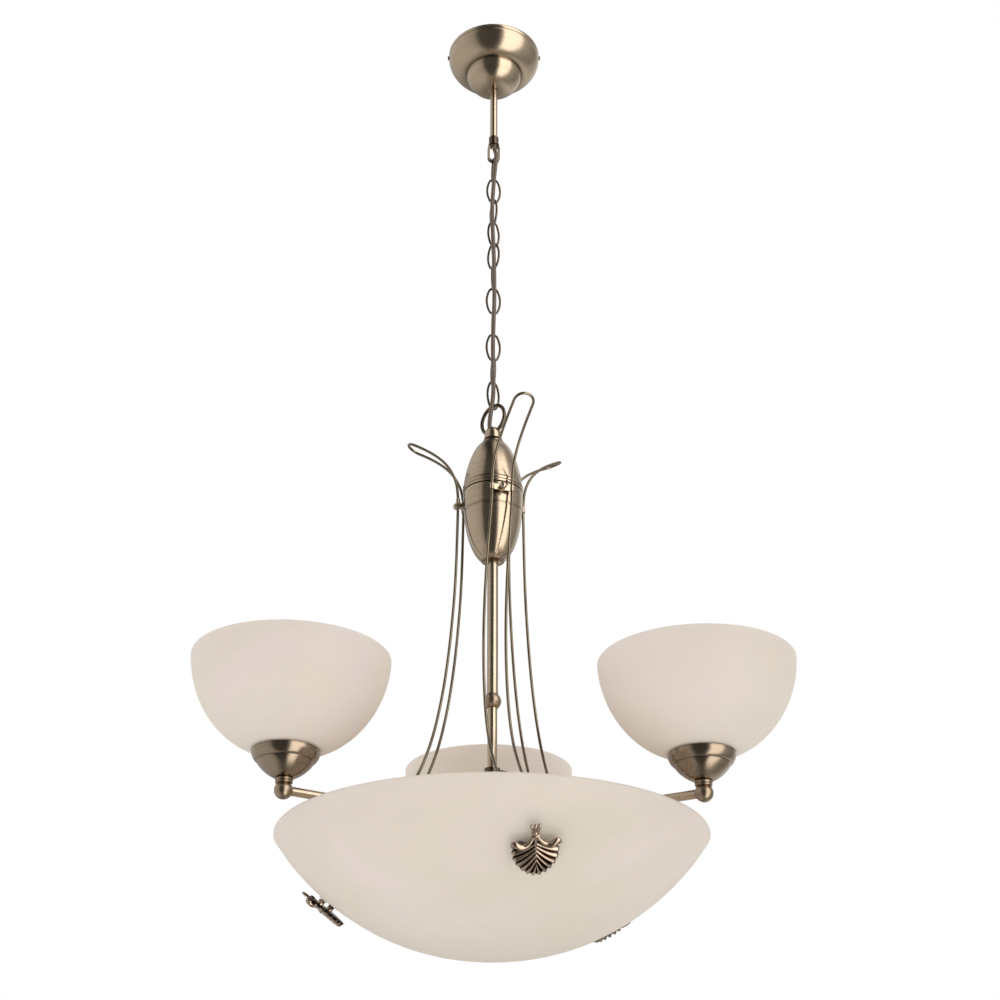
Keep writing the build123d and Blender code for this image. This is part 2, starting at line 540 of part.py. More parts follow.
# --------------------------------------------------------------- supply cord
CORD = [(0, 0, -13.1), (0, 0, -159.5), (3.4, -8.8, -176.0), (2.8, -13.0, -192.5), (1.0, -12.0, -214.0), (-0.6, -10.2, -237.3),
        (-2.0, -9.2, -264.5), (-1.2, -10.0, -291.4), (-0.4, -9.5, -316.3), (0.6, -10.7, -342.0), (1.1, -12.7, -373.0),
        (1.4, -11.7, -404.5), (0.5, -13.1, -435.6), (-0.5, -11.6, -470.5), (0.0, -12.5, -506.3), (0.6, -10.8, -538.0),
        (-1.4, -8.4, -557.0), (-4.0, -5.0, -573.0), (-4.2, -4.4, -585.0), (0, 0, -608.0), (0, 0, zr(27.2))]
cw, used = rounded_path(CORD, limit=500.0)
cord = tube_along(cw, CORD_R)
print("cord length", round(cw.length, 1), "radii", [round(u, 1) for u in used], "volume ratio", cord.volume / (math.pi * CORD_R ** 2 * cw.length))
out(cord, "supply_cord")
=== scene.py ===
import math

import bmesh
import bpy
import numpy as np
from mathutils import Matrix, Vector


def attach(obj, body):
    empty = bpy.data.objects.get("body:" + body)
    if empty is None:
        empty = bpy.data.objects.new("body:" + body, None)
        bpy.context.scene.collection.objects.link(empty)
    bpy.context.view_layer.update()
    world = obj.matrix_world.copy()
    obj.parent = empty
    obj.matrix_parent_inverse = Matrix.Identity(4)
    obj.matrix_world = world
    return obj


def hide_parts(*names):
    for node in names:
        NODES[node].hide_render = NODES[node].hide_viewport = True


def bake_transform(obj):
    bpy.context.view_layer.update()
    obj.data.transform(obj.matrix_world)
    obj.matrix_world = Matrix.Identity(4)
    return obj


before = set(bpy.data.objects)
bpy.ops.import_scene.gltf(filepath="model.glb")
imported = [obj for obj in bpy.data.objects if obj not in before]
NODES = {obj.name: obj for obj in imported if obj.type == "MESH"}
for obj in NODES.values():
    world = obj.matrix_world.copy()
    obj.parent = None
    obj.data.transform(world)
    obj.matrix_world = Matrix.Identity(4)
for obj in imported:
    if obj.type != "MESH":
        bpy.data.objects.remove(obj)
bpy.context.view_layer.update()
scene = bpy.context.scene
scene.view_settings.view_transform = "Standard"
scene.view_settings.look = "None"
MM = 0.001

# ------------------------------------------------------------------ camera
cam = bpy.data.objects.new("camera", bpy.data.cameras.new("camera"))
scene.collection.objects.link(cam)
cam.location = (0.0082, -1.6317, -1.5382)
cam.rotation_euler = (math.radians(90 + 27.808), 0, 0)
cam.data.lens = 57.61
cam.data.sensor_width = 36.0
cam.data.clip_start, cam.data.clip_end = 0.05, 60.0
scene.camera = cam

# ------------------------------------------------------------------ sizes of the pendant, millimetres
RIM_Z = -1075.8
BOWL_R, BOWL_D, BOWL_T = 225.0, 118.2, 5.0
SHADE_R, SHADE_TOP, SHADE_D, SHADE_T = 100.7, 151.5, 101.2, 4.0
ARM_R, ARM_Z = 237.0, 14.3
ARM_AZ = (91.3, 211.3, 331.3)
PIN_AZ = {"front": 286.0, "left": 166.0, "right": 46.0}
HOLE_AZ = {"front": 283.0, "left": 165.0, "right": 46.0}
LINK_YAW = (104.0, 12.0, 118.0, 37.0, 144.0, 78.0, 12.0, 100.0, 16.0, 106.0, 37.0)
LINK1_Z, PITCH = -196.0, 34.1
RING_Z, RING_YAW = -570.15, 136.0


def zr(v):
    return RIM_Z + v


# ------------------------------------------------------------------ mesh helpers
def link_object(name, mesh, body, mats, replaces=(), place=None):
    o = bpy.data.objects.new(name, mesh)
    scene.collection.objects.link(o)
    if place is not None:
        o.matrix_world = place
    for m in mats if isinstance(mats, (list, tuple)) else [mats]:
        mesh.materials.append(m)
    if body:
        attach(o, body)
    if replaces:
        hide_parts(*replaces)
    return o


def to_mesh(name, verts, faces, sharp=38.0, mat_index=None):
    me = bpy.data.meshes.new(name)
    me.from_pydata([tuple(v) for v in verts], [], faces)
    me.validate()
    if mat_index is not None:
        me.polygons.foreach_set("material_index", mat_index)
    bm = bmesh.new()
    bm.from_mesh(me)
    bmesh.ops.recalc_face_normals(bm, faces=bm.faces)
    bm.to_mesh(me)
    bm.free()
    me.shade_smooth()
    me.set_sharp_from_angle(angle=math.radians(sharp))
    me.update()
    return me


def soft(points, closed=True, k=5):
    """A 2D outline whose corners are rounded. A point is (r, z) or (r, z, radius)."""
    res = []
    n = len(points)
    for i, p in enumerate(points):
        rad = p[2] if len(p) > 2 else 0.0
        if rad <= 0 or (not closed and i in (0, n - 1)):
            res.append((p[0], p[1]))
            continue
        a = np.array(points[(i - 1) % n][:2], float)
        b = np.array(p[:2], float)
        c = np.array(points[(i + 1) % n][:2], float)
        u, v = a - b, c - b
        lu, lv = np.linalg.norm(u), np.linalg.norm(v)
        u, v = u / lu, v / lv
        half = math.acos(max(-1, min(1, float(u @ v)))) / 2
        t = min(rad / math.tan(half), 0.49 * lu, 0.49 * lv)
        p1, p2 = b + u * t, b + v * t
        for j in range(k + 1):
            s = j / k
            res.append(tuple((1 - s) ** 2 * p1 + 2 * s * (1 - s) * b + s * s * p2))
    return res


def lathe_mesh(name, outline, n=144, sharp=38.0, holes=None, mat_of=None):
    """Closed outline (r, z) in millimetres turned about Z. Points on the axis are shared."""
    pts = [(max(r, 0.0), z) for r, z in outline]
    clean = [pts[0]]
    for p in pts[1:]:
        if math.hypot(p[0] - clean[-1][0], p[1] - clean[-1][1]) > 1e-4:
            clean.append(p)
    if math.hypot(clean[0][0] - clean[-1][0], clean[0][1] - clean[-1][1]) < 1e-4:
        clean.pop()
    verts, rows = [], []
    for r, z in clean:
        if r < 1e-6:
            rows.append([len(verts)] * n)
            verts.append((0, 0, z * MM))
        else:
            rows.append(list(range(len(verts), len(verts) + n)))
            for j in range(n):
                a = 2 * math.pi * j / n
                verts.append((r * math.cos(a) * MM, r * math.sin(a) * MM, z * MM))
    faces, mi = [], []
    m = len(rows)
    for i in range(m):
        a, b = rows[i], rows[(i + 1) % m]
        axis_a, axis_b = clean[i][0] < 1e-6, clean[(i + 1) % m][0] < 1e-6
        if axis_a and axis_b:
            continue
        for j in range(n):
            k = (j + 1) % n
            if axis_a:
                f = (a[j], b[k], b[j])
            elif axis_b:
                f = (a[j], a[k], b[j])
            else:
                f = (a[j], a[k], b[k], b[j])
            faces.append(f)
            mi.append(mat_of(i, clean[i], clean[(i + 1) % m]) if mat_of else 0)
    return to_mesh(name, verts, faces, sharp, mi)


def turned(name, outline, body, mat, replaces=(), x=0.0, y=0.0, n=144, sharp=38.0, rot=None, mat_of=None):
    place = Matrix.Translation((x * MM, y * MM, 0))
    if rot is not None:
        place = place @ rot
    return link_object(name, lathe_mesh(name, outline, n, sharp, mat_of=mat_of), body, mat, replaces, place)


def frames_along(path, closed=False, up=None):
    """Tangents and rotation-minimising normals along a path."""
    P = np.array(path, float)
    if closed:
        T = np.roll(P, -1, 0) - np.roll(P, 1, 0)
    else:
        T = np.gradient(P, axis=0)
    T /= np.linalg.norm(T, axis=1)[:, None]
    ref = np.array(up if up is not None else (0.0, 0.0, 1.0), float)
    if abs(ref @ T[0]) > 0.95:
        ref = np.array((1.0, 0.0, 0.0))
    u = ref - (ref @ T[0]) * T[0]
    u /= np.linalg.norm(u)
    U = [u]
    for i in range(1, len(P)):
        v = U[-1] - (U[-1] @ T[i]) * T[i]
        v /= np.linalg.norm(v)
        U.append(v)
    U = np.array(U)
    return P, T, U, np.cross(T, U)


def tube_geometry(path, radius, n=14, closed=False, caps=True, up=None, round_caps=False):
    P, T, U, V = frames_along(path, closed, up)
    R = np.full(len(P), radius, float) if np.isscalar(radius) else np.array(radius, float)
    verts, faces = [], []
    for i in range(len(P)):
        for j in range(n):
            a = 2 * math.pi * j / n
            verts.append(P[i] + R[i] * (math.cos(a) * U[i] + math.sin(a) * V[i]))
    m = len(P)
    for i in range(m if closed else m - 1):
        i2 = (i + 1) % m
        for j in range(n):
            k = (j + 1) % n
            faces.append((i * n + j, i * n + k, i2 * n + k, i2 * n + j))
    if not closed and caps:
        faces.append(tuple(range(n))[::-1])
        faces.append(tuple((m - 1) * n + j for j in range(n)))
    return verts, faces


def tube(name, path, radius, body, mat, slot, replaces=(), n=14, closed=False, up=None, sharp=50.0):
    v, f = tube_geometry(np.array(path) * MM, np.array(radius) * MM, n, closed, up=up)
    return link_object(name, to_mesh(name, v, f, sharp), body, mat, replaces)


def quad_spline(points, k=14):
    """Quadratic B-spline of a control polygon, clamped at its ends."""
    P = [np.array(p, float) for p in points]
    res = [P[0]]
    n = len(P)
    for i in range(1, n - 1):
        a = P[0] if i == 1 else (P[i - 1] + P[i]) / 2
        c = P[-1] if i == n - 2 else (P[i] + P[i + 1]) / 2
        for j in range(1, k + 1):
            s = j / k
            res.append((1 - s) ** 2 * a + 2 * s * (1 - s) * P[i] + s * s * c)
    return np.array(res)


def arc_pts(r0, z0, r1, z1, n, k=28):
    """Superelliptic quarter from (r0, z0), where it is upright, to (r1, z1), where it is level."""
    res = []
    for i in range(k):
        a = i / (k - 1) * math.pi / 2
        res.append((r1 + (r0 - r1) * max(math.cos(a), 0.0) ** (2 / n), z0 + (z1 - z0) * math.sin(a) ** (2 / n)))
    return res


# ------------------------------------------------------------------ materials
class Tree:
    def __init__(self, name):
        self.m = bpy.data.materials.new(name)
        self.m.use_nodes = True
        self.t = self.m.node_tree
        self.t.nodes.clear()
        self.out = self.n("ShaderNodeOutputMaterial")

    def n(self, kind, **sets):
        node = self.t.nodes.new(kind)
        for k, v in sets.items():
            setattr(node, k, v)
        return node

    def link(self, a, b):
        self.t.links.new(a, b)

    def math(self, op, a, b=None, c=None):
        n = self.n("ShaderNodeMath", operation=op)
        for i, x in enumerate((a, b, c)):
            if x is None:
                continue
            if isinstance(x, (int, float)):
                n.inputs[i].default_value = x
            else:
                self.link(x, n.inputs[i])
        return n.outputs[0]

    def mix(self, fac, a, b, blend="MIX"):
        n = self.n("ShaderNodeMix", data_type="RGBA", blend_type=blend)
        for sock, x in ((n.inputs["Factor"], fac), (n.inputs["A"], a), (n.inputs["B"], b)):
            if isinstance(x, (int, float)):
                sock.default_value = x
            elif isinstance(x, tuple):
                sock.default_value = (*x[:3], 1.0)
            else:
                self.link(x, sock)
        # the colour sockets of the node are the ones of type RGBA
        return n.outputs["Result"]

    def noise(self, vec, scale, detail=3.0, rough=0.5, distort=0.0):
        n = self.n("ShaderNodeTexNoise")
        n.inputs["Scale"].default_value = scale
        n.inputs["Detail"].default_value = detail
        n.inputs["Roughness"].default_value = rough
        n.inputs["Distortion"].default_value = distort
        self.link(vec, n.inputs["Vector"])
        return n.outputs["Fac"]

    def ramp(self, fac, stops):
        n = self.n("ShaderNodeValToRGB")
        e = n.color_ramp.elements
        while len(e) > 2:
            e.remove(e[-1])
        for i, (p, c) in enumerate(stops):
            el = e[i] if i < 2 else e.new(p)
            el.position = p
            col = (c, c, c) if isinstance(c, (int, float)) else c
            el.color = (*col[:3], 1.0)
        self.link(fac, n.inputs["Fac"])
        return n.outputs["Color"]

    def remap(self, x, a, b, c, d):
        n = self.n("ShaderNodeMapRange")
        n.inputs["From Min"].default_value = a
        n.inputs["From Max"].default_value = b
        n.inputs["To Min"].default_value = c
        n.inputs["To Max"].default_value = d
        self.link(x, n.inputs["Value"])
        return n.outputs["Result"]

    def bump(self, height, strength, distance, normal=None):
        n = self.n("ShaderNodeBump")
        n.inputs["Strength"].default_value = strength
        n.inputs["Distance"].default_value = distance
        self.link(height, n.inputs["Height"])
        if normal is not None:
            self.link(normal, n.inputs["Normal"])
        return n.outputs["Normal"]

    def coord(self):
        return self.n("ShaderNodeTexCoord").outputs["Object"]

    def scaled(self, vec, sx, sy, sz):
        n = self.n("ShaderNodeVectorMath", operation="MULTIPLY")
        self.link(vec, n.inputs[0])
        n.inputs[1].default_value = (sx, sy, sz)
        return n.outputs[0]

    def ring_vector(self, around, across):
        """Coordinates whose noise makes fine lines round the Z axis."""
        sep = self.n("ShaderNodeSeparateXYZ")
        self.link(self.coord(), sep.inputs[0])
        flat = self.n("ShaderNodeCombineXYZ")
        self.link(sep.outputs[0], flat.inputs[0])
        self.link(sep.outputs[1], flat.inputs[1])
        unit = self.n("ShaderNodeVectorMath", operation="NORMALIZE")
        self.link(flat.outputs[0], unit.inputs[0])
        length = self.n("ShaderNodeVectorMath", operation="LENGTH")
        self.link(flat.outputs[0], length.inputs[0])
        s = self.math("MULTIPLY_ADD", length.outputs["Value"], 0.8, sep.outputs[2])
        us = self.n("ShaderNodeSeparateXYZ")
        self.link(unit.outputs[0], us.inputs[0])
        c = self.n("ShaderNodeCombineXYZ")
        self.link(self.math("MULTIPLY", us.outputs[0], around), c.inputs[0])
        self.link(self.math("MULTIPLY", us.outputs[1], around), c.inputs[1])
        self.link(self.math("MULTIPLY", s, across), c.inputs[2])
        return c.outputs[0]

    def done(self, shader):
        self.link(shader, self.out.inputs["Surface"])
        return self.m


def principled(t, **values):
    b = t.n("ShaderNodeBsdfPrincipled")
    for k, v in values.items():
        b.inputs[k.replace("_", " ")].default_value = v
    return b


def metal_turned(name, light, dark, rough=0.24, across=2300.0, lines=0.6, aniso=0.6, patina=0.22, groove_shade=()):
    """Lacquered antique metal, brushed in fine lines round the turning axis, with painted shade near black in the
    turned grooves and at seams.
    The groove list holds (height, half width, depth of painted shade) in millimetres."""
    t = Tree(name)
    b = principled(t, Metallic=1.0, Anisotropic=aniso, Anisotropic_Rotation=0.25)
    fine = t.noise(t.ring_vector(0.8, across), 1.0, 3.0, 0.6)
    broad = t.noise(t.ring_vector(0.5, across * 0.22), 1.0, 2.0, 0.5)
    cloud = t.noise(t.coord(), 30.0, 4.0, 0.55, 0.4)
    f = t.math("ADD", t.math("MULTIPLY", fine, lines), t.math("MULTIPLY", broad, 1.0 - lines))
    tone = t.ramp(f, [(0.30, dark), (0.68, light)])
    worn = t.ramp(cloud, [(0.40, 0.0), (0.78, 1.0)])
    tone = t.mix(t.math("MULTIPLY", worn, patina), tone, (dark[0] * 0.78, dark[1] * 0.72, dark[2] * 0.66))
    if groove_shade:
        high = t.n("ShaderNodeSeparateXYZ")
        t.link(t.coord(), high.inputs[0])
        for z, half, amount in groove_shade:
            off = t.math("ABSOLUTE", t.math("SUBTRACT", high.outputs[2], z * MM))
            t_in = t.remap(off, half * MM * 0.45, half * MM, amount, 0.0)
            # painted shade: near black bands at the groove and seam heights
            tone = t.mix(t_in, tone, (0.030, 0.020, 0.013))
    t.link(tone, b.inputs["Base Color"])
    b.inputs["Coat Weight"].default_value = 0.22
    b.inputs["Coat Roughness"].default_value = 0.12
    t.link(t.math("ADD", t.remap(fine, 0.3, 0.7, rough - 0.03, rough + 0.04), t.remap(cloud, 0.3, 0.7, -0.02, 0.04)), b.inputs["Roughness"])
    tan = t.n("ShaderNodeTangent", direction_type="RADIAL", axis="Z")
    t.link(tan.outputs[0], b.inputs["Tangent"])
    t.link(t.bump(fine, 0.10, 0.00004), b.inputs["Normal"])
    return t.done(b.outputs[0])


def metal_plain(name, light, dark, rough=0.3, scale=260.0, patina=0.4, groove_shade=0.6, bump=0.12):
    """Antique metal on cast and bent pieces, with painted shade: darker in the hollows and on flat faces by Pointiness,
    full tone on convex edges; clouds of patina over it.
    """
    t = Tree(name)
    b = principled(t, Metallic=1.0)
    fine = t.noise(t.coord(), scale, 5.0, 0.62)
    cloud = t.noise(t.coord(), scale * 0.18, 3.0, 0.55, 0.3)
    geo = t.n("ShaderNodeNewGeometry")
    edge = t.ramp(geo.outputs["Pointiness"], [(0.44, 0.0), (0.54, 1.0)])
    tone = t.ramp(t.math("ADD", t.math("MULTIPLY", fine, 0.5), t.math("MULTIPLY", cloud, 0.5)), [(0.34, dark), (0.62, light)])
    low = (dark[0] * 0.42, dark[1] * 0.38, dark[2] * 0.33)
    # painted shade: hollows and flat faces go towards the dark colour, by Pointiness
    tone = t.mix(t.math("MULTIPLY", t.math("SUBTRACT", 1.0, edge), groove_shade), tone, low)
    tone = t.mix(t.math("MULTIPLY", t.ramp(cloud, [(0.45, 0.0), (0.75, 1.0)]), patina), tone, low)
    t.link(tone, b.inputs["Base Color"])
    t.link(t.remap(fine, 0.3, 0.7, rough - 0.05, rough + 0.12), b.inputs["Roughness"])
    t.link(t.bump(fine, bump, 0.0002), b.inputs["Normal"])
    return t.done(b.outputs[0])


def metal_satin(name, light, dark, rough=0.2):
    """Drawn wire: even along its length, with slow changes of tone and a fine satin grain."""
    t = Tree(name)
    b = principled(t, Metallic=1.0)
    slow = t.noise(t.coord(), 26.0, 3.0, 0.5, 0.2)
    grain = t.noise(t.coord(), 2400.0, 2.0, 0.5)
    t.link(t.ramp(slow, [(0.36, dark), (0.62, light)]), b.inputs["Base Color"])
    t.link(t.math("ADD", t.remap(slow, 0.3, 0.7, rough - 0.02, rough + 0.04), t.remap(grain, 0.3, 0.7, -0.02, 0.02)), b.inputs["Roughness"])
    t.link(t.bump(grain, 0.03, 0.00002), b.inputs["Normal"])
    return t.done(b.outputs[0])


def metal_cast(name, light, dark, rough=0.2):
    """Cast antique metal, with painted shade: near black in the hollows of the ribs and on the undersides of the rolls,
    as the per-vertex level says; full tone on their tops.
    """
    t = Tree(name)
    b = principled(t, Metallic=1.0)
    fine = t.noise(t.coord(), 420.0, 4.0, 0.6)
    cloud = t.noise(t.coord(), 90.0, 3.0, 0.5, 0.3)
    tone = t.ramp(t.math("ADD", t.math("MULTIPLY", fine, 0.4), t.math("MULTIPLY", cloud, 0.6)), [(0.34, dark), (0.62, light)])
    high = t.n("ShaderNodeAttribute", attribute_name="rib_painted_light")
    # painted shade: a low per-vertex level darkens the tone towards near black
    tone = t.mix(t.ramp(high.outputs["Fac"], [(0.30, 1.0), (0.66, 0.0)]), tone, (0.022, 0.013, 0.009))
    t.link(tone, b.inputs["Base Color"])
    t.link(t.remap(fine, 0.3, 0.7, rough - 0.04, rough + 0.08), b.inputs["Roughness"])
    t.link(t.bump(fine, 0.04, 0.0001), b.inputs["Normal"])
    return t.done(b.outputs[0])


def alabaster(name, base, rim_z, depth, seed=0.0, glow=0.36):
    """Opal glass with a faint alabaster figure: soft cream clouds, pinker towards the rim, thin pale veins."""
    t = Tree(name)
    b = principled(t, Metallic=0.0)
    co = t.n("ShaderNodeVectorMath", operation="ADD")
    t.link(t.coord(), co.inputs[0])
    co.inputs[1].default_value = (seed, seed * 0.7, -seed * 0.4)
    vec = co.outputs[0]
    cloud = t.noise(vec, 6.5, 3.0, 0.5, 0.8)
    cloud2 = t.noise(t.scaled(vec, 1.0, 1.0, 1.7), 15.0, 4.0, 0.55, 1.6)
    vein = t.noise(t.scaled(vec, 1.0, 1.0, 2.2), 11.0, 5.0, 0.5, 3.2)
    lines = t.math("MULTIPLY", t.ramp(t.math("ABSOLUTE", t.math("SUBTRACT", vein, 0.5)), [(0.0, 1.0), (0.045, 0.0)]), t.ramp(t.noise(vec, 7.0, 2.0, 0.5), [(0.50, 0.0), (0.66, 1.0)]))
    sep = t.n("ShaderNodeSeparateXYZ")
    t.link(t.coord(), sep.inputs[0])
    up = t.remap(sep.outputs[2], rim_z - depth, rim_z, 0.0, 1.0)
    cream, pink, sage = base
    tone = t.mix(t.ramp(cloud, [(0.36, 0.0), (0.66, 1.0)]), cream, pink)
    tone = t.mix(t.math("MULTIPLY", t.ramp(up, [(0.0, 1.0), (0.42, 0.0)]), 0.55), tone, sage)
    tone = t.mix(t.math("MULTIPLY", t.ramp(up, [(0.78, 0.0), (1.0, 1.0)]), 0.45), tone, pink)
    tone = t.mix(t.math("MULTIPLY", t.ramp(cloud2, [(0.42, 0.0), (0.72, 1.0)]), 0.22), tone, (0.93, 0.87, 0.81))
    tone = t.mix(t.math("MULTIPLY", lines, 0.10), tone, (0.97, 0.94, 0.91))
    t.link(tone, b.inputs["Base Color"])
    b.inputs["Subsurface Weight"].default_value = 0.35
    b.inputs["Subsurface Radius"].default_value = (1.0, 0.86, 0.68)
    b.inputs["Subsurface Scale"].default_value = 0.012
    b.inputs["Specular IOR Level"].default_value = 0.32
    t.link(t.remap(cloud2, 0.3, 0.7, 0.40, 0.52), b.inputs["Roughness"])
    grain = t.noise(vec, 900.0, 2.0, 0.5)
    t.link(t.bump(grain, 0.04, 0.0001, t.bump(cloud2, 0.10, 0.0006)), b.inputs["Normal"])
    back = t.n("ShaderNodeBsdfTranslucent")
    t.link(tone, back.inputs["Color"])
    mix = t.n("ShaderNodeMixShader")
    mix.inputs[0].default_value = glow
    t.link(b.outputs[0], mix.inputs[1])
    t.link(back.outputs[0], mix.inputs[2])
    return t.done(mix.outputs[0])


def plain_stuff(name, light, dark, rough, scale=300.0, bump=0.1, metallic=0.0, coat=0.0, spec=0.5):
    t = Tree(name)
    b = principled(t, Metallic=metallic, Coat_Weight=coat, Specular_IOR_Level=spec)
    fine = t.noise(t.coord(), scale, 4.0, 0.6)
    cloud = t.noise(t.coord(), scale * 0.12, 3.0, 0.5)
    f = t.math("ADD", t.math("MULTIPLY", fine, 0.4), t.math("MULTIPLY", cloud, 0.6))
    t.link(t.ramp(f, [(0.36, dark), (0.62, light)]), b.inputs["Base Color"])
    t.link(t.remap(fine, 0.3, 0.7, rough - 0.04, rough + 0.06), b.inputs["Roughness"])
    t.link(t.bump(fine, bump, 0.0001), b.inputs["Normal"])
    return t.done(b.outputs[0])


BRASS_L, BRASS_D = (0.44, 0.355, 0.265), (0.33, 0.262, 0.188)
# painted shade: a darker copy of the antique metal for the cups and the hub, as the cups sit in the shade of the glass
M_CUP_SHADED = metal_turned("antique_metal_cup_shaded", (0.31, 0.243, 0.18), (0.225, 0.175, 0.125), rough=0.23, groove_shade=((zr(52.6), 0.5, 0.4), (zr(42.5), 0.55, 0.6)))
M_CANOPY = metal_turned("antique_metal_canopy", BRASS_L, BRASS_D, rough=0.22, groove_shade=((-6.0, 0.5, 0.5), (-33.4, 0.5, 0.5)))
M_EGG = metal_turned("antique_metal_egg", BRASS_L, BRASS_D, rough=0.20, across=2600.0,
                     groove_shade=((-661.4, 0.55, 0.75), (-666.2, 0.6, 0.75), (-670.4, 1.1, 0.95), (-695.6, 2.2, 0.35), (-756.9, 0.9, 0.5)))
M_ROD = metal_turned("antique_metal_rod", (0.50, 0.41, 0.31), (0.38, 0.305, 0.225), rough=0.24, across=2600.0, patina=0.18)
M_BALL = metal_plain("antique_metal_ball", (0.34, 0.265, 0.195), (0.25, 0.19, 0.135), rough=0.27, scale=120.0, patina=0.2, groove_shade=0.0, bump=0.01)
M_WIRE = metal_satin("bronze_wire", (0.22, 0.182, 0.13), (0.15, 0.122, 0.085), rough=0.15)
M_CHAIN = metal_satin("chain_bronze", (0.135, 0.105, 0.075), (0.08, 0.06, 0.042), rough=0.22)
M_SHELL = metal_cast("shell_brass", (0.47, 0.375, 0.295), (0.29, 0.22, 0.165))
# painted shadow: near black stand-in for the shadow in the gap under the finial cap, put on the egg_top_bushing
M_SHADOW_GAP = plain_stuff("painted_shadow_gap", (0.035, 0.027, 0.020), (0.015, 0.012, 0.010), 0.6, metallic=0.0)
M_STEEL = metal_plain("zinc_steel", (0.66, 0.65, 0.62), (0.46, 0.45, 0.43), rough=0.34, scale=180.0, patina=0.2, groove_shade=0.2)
M_SOCKET = plain_stuff("socket_porcelain", (0.86, 0.84, 0.79), (0.78, 0.76, 0.70), 0.16, scale=220.0, bump=0.03, coat=0.4)
M_THREAD = metal_turned("socket_thread", (0.70, 0.55, 0.32), (0.52, 0.38, 0.20), rough=0.30, across=700.0, patina=0.2)
M_PLASTIC = plain_stuff("clamp_plastic", (0.80, 0.78, 0.71), (0.72, 0.70, 0.62), 0.42, scale=500.0, bump=0.12)
M_RUBBER = plain_stuff("washer_rubber", (0.70, 0.66, 0.60), (0.60, 0.56, 0.50), 0.55, scale=700.0, bump=0.2, spec=0.3)
M_CORD = plain_stuff("cord_sheath", (0.155, 0.108, 0.078), (0.10, 0.07, 0.05), 0.34, scale=600.0, bump=0.10)
CREAM, PINK, SAGE = (0.86, 0.81, 0.725), (0.91, 0.84, 0.81), (0.81, 0.78, 0.705)
M_BOWL = alabaster("alabaster_bowl", (CREAM, PINK, SAGE), zr(0) * MM, 0.118, 0.0)
M_SHADES = [alabaster("alabaster_shade_%d" % (i + 1), ((0.88, 0.83, 0.74), PINK, (0.84, 0.795, 0.725)), zr(SHADE_TOP) * MM, 0.101, 0.31 + 0.37 * i) for i in range(3)]

# ------------------------------------------------------------------ world, lights and floor
world = bpy.data.worlds.new("studio")
scene.world = world
world.use_nodes = True
wt = world.node_tree
wt.nodes.clear()


def wn(kind, **sets):
    node = wt.nodes.new(kind)
    for k, v in sets.items():
        setattr(node, k, v)
    return node


def wmath(op, a, b=None):
    n = wn("ShaderNodeMath", operation=op)
    for i, x in enumerate((a, b)):
        if x is None:
            continue
        if isinstance(x, (int, float)):
            n.inputs[i].default_value = x
        else:
            wt.links.new(x, n.inputs[i])
    return n.outputs[0]


tc = wn("ShaderNodeTexCoord")
sp = wn("ShaderNodeSeparateXYZ")
wt.links.new(tc.outputs["Generated"], sp.inputs[0])


def wramp(fac, stops, lo, hi):
    ramp = wn("ShaderNodeValToRGB")
    wt.links.new(fac, ramp.inputs["Fac"])
    els = ramp.color_ramp.elements
    for i, (at, v) in enumerate(stops):
        p = (at - lo) / (hi - lo)
        el = els[i] if i < 2 else els.new(p)
        el.position = p
        el.color = (v, v * 0.975, v * 0.93, 1.0)
    return ramp.outputs["Color"]


def wmap(x, a, b):
    n = wn("ShaderNodeMapRange")
    n.inputs["From Min"].default_value = a
    n.inputs["From Max"].default_value = b
    wt.links.new(x, n.inputs["Value"])
    return n.outputs["Result"]


def wmix(fac, a, b):
    n = wn("ShaderNodeMix", data_type="RGBA")
    wt.links.new(fac, n.inputs["Factor"])
    for k, x in (("A", a), ("B", b)):
        if isinstance(x, tuple):
            n.inputs[k].default_value = x
        else:
            wt.links.new(x, n.inputs[k])
    return n.outputs["Result"]


# direction round the room: 0 is where the photo is taken from, positive to the right, in degrees
turn = wmath("DIVIDE", wmath("ARCTAN2", sp.outputs[0], wmath("MULTIPLY", sp.outputs[1], -1.0)), 2 * math.pi)
turn = wmath("ADD", turn, 0.5)
round_room = wramp(turn, [(-180, 0.36), (-160, 0.42), (-140, 0.76), (-110, 0.92), (-80, 0.90), (-60, 0.80), (-46, 0.62), (-37, 0.14), (14, 0.11),
                          (21, 0.70), (26, 3.3), (66, 3.0), (76, 0.85), (92, 0.62), (116, 0.42), (130, 0.72), (150, 1.05), (166, 0.55), (180, 0.36)], -180, 180)
# overhead the soft boxes run on as long strips
side = wmath("ADD", wmath("MULTIPLY", sp.outputs[0], 0.5), 0.5)          # 0 at the left, 1 at the right
overhead = wramp(side, [(-1.0, 0.30), (-0.70, 0.50), (-0.46, 0.36), (-0.36, 0.05), (-0.05, 0.04), (0.02, 0.5), (0.10, 1.1), (0.24, 1.1), (0.32, 0.4), (0.5, 0.35), (0.58, 1.2), (0.70, 1.1), (0.78, 0.25), (1.0, 0.3)], -1, 1)
under = (0.26, 0.245, 0.22, 1.0)
room = wmix(wmap(sp.outputs[2], 0.80, 0.93), round_room, overhead)
room = wmix(wmap(wmath("MULTIPLY", sp.outputs[2], -1.0), 0.88, 1.0), room, under)
bg = wn("ShaderNodeBackground")
bg.inputs["Strength"].default_value = 1.0
wt.links.new(room, bg.inputs["Color"])
